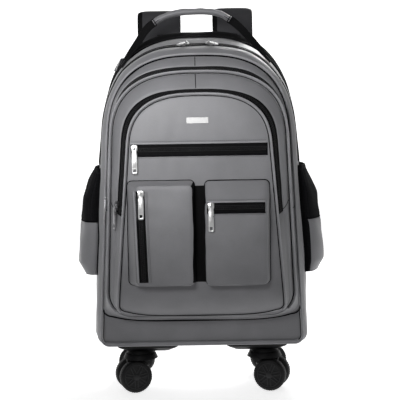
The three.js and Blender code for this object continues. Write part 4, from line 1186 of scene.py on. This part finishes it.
def side_pocket(name, side, tree):
    """Cloth below, black net above, and a gathered elastic hem along the top"""
    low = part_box(f"side_pocket_{name}")[0]
    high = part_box(f"side_mesh_{name}")[1]
    seam = (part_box(f"side_pocket_{name}")[1].z - low.z) / (high.z - low.z)
    for part, first, last, material in (("side_pocket", 0, seam, "cloth"),
                                        ("side_mesh", seam + NET_GAP, 1, "net")):
        heights = np.linspace(first, last, SIDE_LEVELS)
        grid, turn = side_grid(side, tree, low, high, heights)
        share = heights[:, None]
        bulge = np.sin(turn)[None] ** 0.5
        relief = ripple(grid, 0.05, 80 + side) * 0.9 * bulge - bump(share, seam, 0.02) * 1.2
        relief = relief + np.cos(turn * PLEATS) * smooth(0.72, 1, share) * 0.8 * bulge
        grid = grid + np.array([side, 0, 0]) * (relief * MM)[..., None]
        if part == "side_pocket":
            floor = grid[0].copy()
            floor[:, 0] = side * (np.abs(floor[[0, -1], 0]).mean() - 1.6 * MM)
            steps = np.linspace(0, 1, FLOOR_LEVELS, endpoint=False)[:, None, None]
            grid = np.concatenate([floor + (grid[0] - floor) * steps, grid])
        marks = np.zeros((grid.shape[0] - 1, grid.shape[1] - 1), int)
        if name == "right" and part == "side_pocket":
            marks[:, :2] = 1
        obj = piece(f"{part}_{name}_cloth", grid, grid_faces(*grid.shape[:2]),
                    [MAT[material], MAT["net"]], marks=marks.ravel(), nodes=[f"{part}_{name}"],
                    slot=material)
        thick(obj, 1.4 * MM)
        if part == "side_mesh":
            hem = grid[-1] - [0, 0, 4 * MM]
            cord = tube_parts(hem, 4.2 * MM, 12, up=(side, 0, 0), flat=0.42)
            piece(f"side_hem_{name}", *cord, MAT["webbing"], slot="net")
        else:
            line = tube_parts(grid[-1], 1.0 * MM, 8, up=(side, 0, 0))
            piece(f"side_seam_{name}", *line, MAT["seam"], slot="cloth")
    full, _ = side_grid(side, tree, low, high, np.linspace(0, 1, 30))
    inwards = [side * SIDE_GAP * 0.6, 0, 0]
    edges = [tube_parts(full[:, column] - inwards, 1.3 * MM, 8, up=(side, 0, 0))
             for column in (0, -1)]
    joined(f"side_binding_{name}", edges, MAT["seam"], slot="cloth")

# Back: panel, quilted pads, shoulder straps, buckles and webbing

PAD_INSET = 1.5 * MM
PAD_CORNER = 25
PAD_CHANNEL = 52 * MM
SWELL_CAP = 3 * MM
SWELL_FRAMES = 20


def back_panel():
    edge = body_section(1.0)
    low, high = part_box("back_panel")
    rows = [standing(ring(edge, inset * MM)[:, ::2], low.y + depth * MM)
            for inset, depth in ((1, 0), (0.6, 2.2), (1.4, 4.0), (3.4, 5.2))]
    outer = ring(edge, 5 * MM)[:, ::2]
    middle = np.array([0, (edge["bottom"] + edge["top"]) / 2])
    rows += [standing(middle + (outer - middle) * share, high.y)
             for share in np.linspace(1, 0.04, 22)]
    grid = np.array(rows)
    grid[4:-1, :, 1] += ripple(grid[4:-1], 0.06, 91) * 0.3 * MM
    piece("back_panel_cloth", grid, capped(grid), MAT["dark_cloth"], nodes=["back_panel"],
          slot="dark_cloth")
    line = standing(ring(edge, 0.4 * MM)[:, ::2], low.y + 1.2 * MM)
    piece("back_binding", *loop(line, 1.5 * MM), MAT["webbing"], slot="dark_cloth")


def puffed(obj, voxel, pressure, cap):
    """Swells a closed piece as stuffed cloth does, moving no point further than the cap"""
    with_modifier(obj, "REMESH", mode="VOXEL", voxel_size=voxel)
    before = coordinates(obj.data)
    cloth = obj.modifiers.new("cloth", "CLOTH")
    cloth.settings.use_pressure = True
    cloth.settings.uniform_pressure_force = pressure
    cloth.settings.effector_weights.gravity = 0
    for step in range(1, SWELL_FRAMES + 1):
        bpy.context.scene.frame_set(step)
    depsgraph = bpy.context.evaluated_depsgraph_get()
    moved = coordinates(obj.evaluated_get(depsgraph).data) - before
    reach = np.linalg.norm(moved, axis=1, keepdims=True)
    moved *= np.minimum(1, cap / np.maximum(reach, 1e-9))
    obj.modifiers.clear()
    obj.data.vertices.foreach_set("co", (before + moved).ravel())
    bpy.context.scene.frame_set(1)
    with_modifier(obj, "SUBSURF", levels=1, render_levels=1)
    obj.data.polygons.foreach_set("use_smooth", [True] * len(obj.data.polygons))


def back_pad(name):
    """A foam pad under net, sewn down in channels that fan out to its sides"""
    low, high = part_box(f"back_pad_{name}")

    def outline(inset):
        room = PAD_INSET + inset * MM
        return rounded(low.x + room, high.x - room, low.z + room, high.z - room,
                       max(PAD_CORNER - inset, 4) * MM)

    rows = [standing(outline(inset), low.y + (high.y - low.y) * share)
            for inset, share in ((0, 0.05), (0, 0.5), (5, 0.8), (12, 0.92), (30, 0.92))]
    grid = np.array(rows)
    obj = piece(f"back_pad_{name}_foam", grid, capped(grid), MAT["pad_net"],
                nodes=[f"back_pad_{name}"], slot="net")
    puffed(obj, voxel=4 * MM, pressure=4, cap=SWELL_CAP)
    points = coordinates(obj.data)
    lean = np.abs(points[:, 0]) * 0.35
    channel = np.cos((points[:, 2] + lean) * math.tau / PAD_CHANNEL)
    raised = smooth(low.y + 3 * MM, high.y, points[:, 1])
    points[:, 1] -= smooth(0.8, 1, channel) * 2.6 * MM * raised
    points[:, 1] = np.clip(points[:, 1], low.y, high.y + 2 * MM)
    obj.data.vertices.foreach_set("co", points.ravel())
    cord = loop(standing(outline(0), low.y + 1 * MM), 1.4 * MM)
    piece(f"back_pad_{name}_binding", *cord, MAT["webbing"], slot="net")


# The strap as it hangs. across is a share of its width, back of its fold, up of its rise.
STRAP_ROWS = [
    dict(across=0, back=0, up=-1.05, width=1),
    dict(across=0, back=0, up=-0.2, width=1),
    dict(across=0, back=0, up=0.55, width=1),
    dict(across=0, back=0.12, up=0.78, width=1),
    dict(across=0, back=0.5, up=0.93, width=1),
    dict(across=0, back=0.88, up=0.78, width=1),
    dict(across=0, back=1, up=0.45, width=1),
    dict(across=0.03, back=0.94, up=-0.6, width=0.97),
    dict(across=0.12, back=0.78, up=-2, width=0.92),
    dict(across=0.24, back=0.74, up=-3.6, width=0.88),
    dict(across=0.34, back=0.74, up=-5, width=0.8),
    dict(across=0.42, back=0.74, up=-6.2, width=0.68),
    dict(across=0.47, back=0.74, up=-7.2, width=0.56),
]
STRAPS = {
    "left": dict(side=-1, x=62, width=70, lift=-1.5, seed=101),
    "right": dict(side=1, x=57.5, width=65, lift=1.5, seed=111),
}
STRAP_THICKNESS = 11 * MM
STRAP_RISE = 42 * MM
STRAP_FOLD = 24 * MM
STRAP_EDGE = 4
WEBBING_WIDTH = 25 * MM
WEBBING = 1.8 * MM
WEBBING_SPREAD = 24 * MM


def shoulder_strap(name):
    """A padded strap with one black edge and two lines of stitches, which it gives back"""
    row = STRAPS[name]
    width = row["width"] * MM
    node = f"shoulder_strap_{name}"
    start_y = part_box(node)[0].y + STRAP_THICKNESS / 2
    top = height_at(BODY_ROWS[-1]["top"]) + row["lift"] * MM
    rows = [[row["side"] * (row["x"] * MM + r["across"] * width), start_y + STRAP_FOLD * r["back"],
             top + STRAP_RISE * r["up"], r["width"] * width] for r in STRAP_ROWS]
    line = curve(rows, 170)
    path, widths = line[:, :3], line[:, 3]
    along = unit(np.gradient(path, axis=0) * [0, 1, 1])
    normals = -np.cross([1, 0, 0], along)
    relief = ripple(path, 0.05, row["seed"])[:, None, None] * 0.35 * MM
    upper, lower = ribbon_grids(path, normals, widths, STRAP_THICKNESS, 5, relief)
    share = np.linspace(0, 1, upper.shape[1])
    creases = ripple(upper, 0.03, row["seed"] + 1, (0.4, 1, 1)) * np.sin(math.pi * share)
    upper = upper + normals[:, None] * creases[..., None] * 0.3 * MM
    cols = upper.shape[1] - 1
    marks = np.zeros((2, len(path) - 1, cols), int)
    left_first = upper[0, 0, 0] < upper[0, -1, 0]
    marks[:, :, slice(0, STRAP_EDGE) if left_first else slice(cols - STRAP_EDGE, cols)] = 1
    marks = marks.ravel().tolist() + [1] * (2 * (len(path) - 1) + 2 * cols)
    strap = slab(f"{node}_foam", upper, lower, [MAT["strap_cloth"], MAT["webbing"]], nodes=[node],
                 slot="dark_cloth", marks=marks)
    surface = Surface(np.swapaxes(upper, 0, 1), wrap=False)
    places = [surface.at(column, np.arange(len(path)), 0.15 * MM) for column in (3, cols - 3)]
    return [stitches(place, normals, 3.2, 2.0) for place in places]


def strap_end(name):
    """The buckle at a strap's lower end, the webbing that runs down from it and its free tail"""
    row = STRAPS[name]
    low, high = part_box(f"strap_buckle_{name}")
    softened(f"strap_buckle_{name}", width=1.0, steps=3)
    web_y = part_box(f"strap_webbing_{name}")[0].y
    x = (low.x + high.x) / 2
    y = low.y - 0.3 * MM - WEBBING / 2
    away = row["side"] * WEBBING_SPREAD
    drop = high.z - low.z
    floor = height_at(0.06)
    places = curve([
        [x, y, high.z - 2 * MM],
        [x, y, high.z - drop * 1.25],
        [x + away * 0.5, y, (high.z - drop + floor) / 2],
        [x + away * 0.9, web_y + 2.7 * MM, floor + WEBBING_WIDTH / 2],
        [x + away, web_y + WEBBING / 2, floor],
    ], 80)
    wave = ripple(places, 0.08, row["seed"] + 2)[:, None, None] * 0.2 * MM
    ribbon(f"strap_webbing_{name}_tape", places, (0, 1, 0), WEBBING_WIDTH, WEBBING,
           MAT["webbing"], relief=wave, nodes=[f"strap_webbing_{name}"], slot="black_webbing")
    tail = curve([[x, high.y + 1.2 * MM, high.z - drop * 0.3],
                  [x, high.y + 2.2 * MM, low.z],
                  [x + away * 0.1, high.y + 1.8 * MM, low.z - 30 * MM]], 24)
    ribbon(f"strap_tail_{name}", tail, (0, 1, 0), WEBBING_WIDTH * 0.98, WEBBING, MAT["webbing"],
           slot="black_webbing")


# Grab handle over the top. across is a share of half the grip, up of its rise.
GRIP_ROWS = [(-1, 0.55), (-0.78, 0.78), (-0.45, 0.95), (0, 1.02), (0.45, 1), (0.78, 0.88),
             (1, 0.65)]
GRIP_HALF = 59 * MM
GRIP_THICKNESS = 9 * MM
GRAB_RISE = 35 * MM
GRAB_DEPTH = 0.442
GRAB_WEBBING = 12.5 * MM


def grab_grip():
    """The padded grip with its seams; gives back the line along its middle"""
    low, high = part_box("grab_grip")
    middle, y = (low.x + high.x) / 2, (low.y + high.y) / 2
    base = height_at(0.988)
    line = curve([[middle + GRIP_HALF * across, y, base + GRAB_RISE * up]
                  for across, up in GRIP_ROWS], 110)
    ends = np.linspace(-1, 1, len(line))
    widths = (high.y - low.y) * (1 - 0.22 * ends**8)
    relief = (ripple(line, 0.022, 121) * 0.35 + 0.4)[:, None, None] * MM
    grip = ribbon("grab_grip_foam", line, (0, 0, 1), widths, GRIP_THICKNESS, MAT["cloth"],
                  roundness=3.2, relief=relief, nodes=["grab_grip"], slot="cloth")
    seams = [tube_parts(line + [0, share * (high.y - low.y), -1.2 * MM], 0.6 * MM, 6)
             for share in (-0.44, 0.44)]
    turn = np.linspace(0, math.tau, 28, endpoint=False)[:, None]
    for end in (2, -3):
        along = unit(line[end + 1] - line[end - 1])
        lift = np.cross(along, [0, 1, 0])
        band = line[end] + (np.cos(turn) * [0, 10.4, 0] + np.sin(turn) * lift * 5) * MM
        seams.append(tube_parts(band, 0.8 * MM, 6, closed=True, up=along))
    joined("grab_seams", seams, MAT["seam"], slot="cloth")
    return line


def grab_handle(body):
    """The grip and the two webbings that hold it; gives back their stitches"""
    line = grab_grip()
    sewn = []
    for name, side in (("left", -1), ("right", 1)):
        foot_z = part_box(f"grab_strap_{name}")[0].z + 7 * MM
        tip, near = (line[0], line[4]) if side < 0 else (line[-1], line[-5])
        out = unit(tip - near)
        row = GRAB_DEPTH * (len(body.points) - 1)
        column = column_at(body, int(row), foot_z, side > 0)
        foot = np.ravel(body.at(row, column, 2.6 * MM))
        normal = np.ravel(body.normal(row, column))
        bend = (tip + foot) / 2 + [side * 0.5 * MM, 0, 2.5 * MM]
        places = curve([tip - out * 3 * MM, tip + out * 5 * MM, bend, foot], 60)
        share = np.linspace(0, 0.8, 60)[:, None]
        facing = unit(unit(np.array([0, -1, 0.15])) * (1 - share) + normal * share)
        ribbon(f"grab_strap_{name}_tape", places, facing, GRAB_WEBBING, 2 * MM, MAT["webbing"],
               nodes=[f"grab_strap_{name}"], slot="black_webbing")
        sewn.append(stitches(places[-9:] + facing[-9:] * 1.1 * MM, facing[-9:], 2.4, 1.6))
    return sewn


# Telescopic handle and casters

# In mm; a wheel's sides are at these distances from the middle of its axle
WHEEL_RADIUS = 25
WHEEL_IN = 5.5
WHEEL_OUT = 20.5
TREAD_BLOCKS = 42
TREAD_DEPTH = 0.7
SPOKES = 7
SPOKE_TURN = 0.2
SPOKE_MIDDLE = 11
SPOKE_SHIFT = 2.2


def trolley():
    for name in ("left", "right"):
        softened(f"trolley_tube_{name}", material="aluminium", width=0.5)
        softened(f"handle_tube_{name}", "handle", "aluminium", 0.4)
    softened("trolley_bezel")
    softened("handle_grip", "handle", width=2.0, steps=3)
    low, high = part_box("handle_grip")
    place = [(low.x + high.x) / 2, (low.y + high.y) / 2, high.z + 0.3 * MM]
    joined("handle_button", [plate([rounded(-9, 9, -4, 4, 3.5)], 1.6, 0.4)], MAT["tread"],
           np.eye(3), place, body="handle", slot="plastic")


def lathe(profile, segments, side=1):
    """Points and faces turned round x, from rows of place along x and radius. A third value
    says how deep the tread's grooves go there, as a share."""
    turn = np.arange(segments) * math.tau / segments
    groove = TREAD_DEPTH * smooth(0.55, 0.8, np.cos(turn * TREAD_BLOCKS))
    rows = []
    for x, radius, *share in profile:
        r = radius - groove * sum(share)
        rows.append(np.stack([np.full(segments, side * x), r * np.cos(turn), r * np.sin(turn)], 1))
    grid = np.array(rows)
    return grid.reshape(-1, 3), capped(grid)


def wheels(corner, joint):
    """Two wheels on an axle: ribbed treads, and covers with paired spokes on their outer sides"""
    axis = unit(np.array(joint["axis"], float))
    ahead = unit(np.cross([0, 0, 1], axis))
    axes = np.array([axis, ahead, np.cross(axis, ahead)])
    place = np.array(joint["pos_m"], float)
    shoulder = WHEEL_RADIUS - 0.05
    tread_rows = [
        (WHEEL_IN, 18.5), (WHEEL_IN, 22), (WHEEL_IN + 1.2, 24.2, 0.3), (WHEEL_IN + 3, shoulder, 1),
        (13, WHEEL_RADIUS, 1), (WHEEL_OUT - 3, shoulder, 1), (WHEEL_OUT - 1, 23.9, 0.3),
        (WHEEL_OUT, 22), (WHEEL_OUT, 20), (WHEEL_OUT - 1.2, 19.2),
    ]
    hub_rows = [(WHEEL_IN + 0.2, 18.4), (WHEEL_OUT - 2.2, 19.0)]
    boss_rows = [(WHEEL_OUT - 2.3, 5.2), (WHEEL_OUT - 0.4, 5.0), (WHEEL_OUT, 4.0)]
    rim_rows = [(WHEEL_OUT - 2.3, 19.3), (WHEEL_OUT - 0.3, 19.2), (WHEEL_OUT - 0.2, 17.8),
                (WHEEL_OUT - 1.9, 17.4)]
    bar = block(13.4, 1.9, 2.2, 0.4)
    treads, hubs, spokes = [], [], []
    for side in (-1, 1):
        treads.append(lathe(tread_rows, 4 * TREAD_BLOCKS, side))
        hubs.append(lathe(hub_rows, 64, side))
        spokes += [lathe(boss_rows, 32, side), lathe(rim_rows, 64, side)]
        outward = np.array([[side, 0.0, 0.0]])
        for k in range(SPOKES):
            turn = math.tau * k / SPOKES + SPOKE_TURN
            radial = np.array([[0, math.cos(turn), math.sin(turn)]])
            beside = np.array([[0, -math.sin(turn), math.cos(turn)]])
            for shift in (-SPOKE_SHIFT, SPOKE_SHIFT):
                centre = radial * SPOKE_MIDDLE + beside * shift + outward * (WHEEL_OUT - 2.6)
                spokes.append(copies(bar, centre, radial, outward))
    hubs.append(lathe([(-WHEEL_IN, 3), (WHEEL_IN, 3)], 20))
    options = dict(axes=axes, place=place, body=f"wheels_{corner}", slot="tread")
    joined(f"caster_tread_{corner}", treads, MAT["tread"], nodes=[f"caster_wheels_{corner}"],
           sharp=50, **options)
    joined(f"caster_hub_{corner}", hubs, MAT["hub"], sharp=30, **options)
    joined(f"caster_spokes_{corner}", spokes, MAT["spokes"], sharp=30, **options)


def casters():
    joints = {joint["name"]: joint for joint in frame["joints"]}
    for corner in ("front_left", "front_right", "rear_left", "rear_right"):
        softened(f"caster_base_{corner}", width=1.6, steps=3)
        softened(f"caster_fork_{corner}", f"fork_{corner}")
        wheels(corner, joints[f"wheel_{corner}"])


# Scene

STAGE_WHITE = (0.85, 0.85, 0.85, 1)
STAGE_HALF = 7
STAGE_Z = -0.0005
FLOOR_ROWS = [(-7, 0), (5, 0)]
BACKDROP_ROWS = [(5, 0), (5.8, 0.2), (6.4, 0.9), (6.5, 6)]


def make_camera():
    data = bpy.data.cameras.new("camera")
    data.lens = CAMERA_LENS
    data.sensor_width = SENSOR_WIDTH
    camera = placed("camera", data)
    tilt = Matrix.Rotation(math.radians(90 - CAMERA_PITCH), 4, "X")
    roll = Matrix.Rotation(math.radians(CAMERA_ROLL), 4, "Z")
    camera.matrix_world = Matrix.Translation(CAMERA_PLACE) @ tilt @ roll
    bpy.context.scene.camera = camera


def area_light(name, place, target, size, power, spread):
    data = bpy.data.lights.new(name, "AREA")
    data.shape = "DISK"
    data.size = size
    data.energy = power
    data.spread = math.radians(spread)
    light = placed(name, data)
    light.location = place
    aim = Vector(target) - Vector(place)
    light.rotation_mode = "QUATERNION"
    light.rotation_quaternion = aim.to_track_quat("-Z", "Y")
    light.visible_camera = False


def glowing(name, glow):
    """A white surface that glows, and its parts as new_material gives them"""
    parts = new_material(name)
    _, tree, shader, _ = parts
    feed(tree, shader, {"Base Color": STAGE_WHITE, "Roughness": 0.95,
                        "Emission Color": (1, 1, 1, 1), "Emission Strength": glow})
    return parts


def floor_material():
    """The floor's glow is full behind the bag and fades out in front of it"""
    material, tree, shader, place = glowing("floor", FLOOR_GLOW)
    parts = tree.nodes.new("ShaderNodeSeparateXYZ")
    feed(tree, parts, {0: place})
    fade = tree.nodes.new("ShaderNodeMapRange")
    fade.interpolation_type = "SMOOTHSTEP"
    values = (parts.outputs["Y"], *NEAR_EDGES, NEAR_GLOW, FLOOR_GLOW)
    feed(tree, fade, dict(enumerate(values)))
    feed(tree, shader, {"Emission Strength": fade.outputs[0]})
    return material


def stage_piece(name, rows, material):
    """A part of the stage, from its rows of y and z"""
    points = [(x, y, z + STAGE_Z) for y, z in rows for x in (-STAGE_HALF, STAGE_HALF)]
    faces = [[2 * i, 2 * i + 1, 2 * i + 3, 2 * i + 2] for i in range(len(rows) - 1)]
    data = bpy.data.meshes.new(name)
    data.from_pydata(points, [], faces)
    data.materials.append(material)
    placed(name, data)


def make_stage():
    """A white floor, a white wall far behind the bag, and the lamps"""
    bpy.context.scene.view_settings.view_transform = "Standard"
    world = bpy.data.worlds.new("studio")
    world.use_nodes = True
    feed(world.node_tree, world.node_tree.nodes["Background"],
         {"Color": (1, 1, 1, 1), "Strength": WORLD_GLOW})
    bpy.context.scene.world = world
    for light in LIGHTS:
        area_light(**light)
    stage_piece("floor", FLOOR_ROWS, floor_material())
    stage_piece("backdrop", BACKDROP_ROWS, glowing("backdrop", WALL_GLOW)[0])


make_camera()
make_stage()

body_surface = main_body()
middle_surface = compartment("middle", "middle_back", (0.12, 0.85, 0.42), middle_relief, 41)
front_surface = compartment("front", "middle", (0.06, 0.6, 0.3), front_relief, 51)
zips_and_seams(body_surface, middle_surface, front_surface)

front_tree = tree_of(bpy.data.objects["front_compartment_shell"])
body_tree = tree_of(bpy.data.objects["body_shell"])
sewn = []
for name in POCKETS:
    shell = patch_pocket(name, front_tree)
    sewn += face_zip(f"{name}_pocket_zip_tape", f"{name}_pocket_zip", tree_of(shell), name == "left")
sewn += face_zip("slip_zip_tape", "slip_zip", front_tree, False)
painted_pocket_gap_shade(front_tree)
nameplate()
for name in STRAPS:
    side_pocket(name, STRAPS[name]["side"], body_tree)
    back_pad(name)
    sewn += shoulder_strap(name)
    strap_end(name)
back_panel()
sewn += grab_handle(body_surface)
joined("stitching", sewn, MAT["thread"], slot="cloth")
trolley()
casters()
for node, (length, material) in PULLS.items():
    zip_pull(node, length, material)
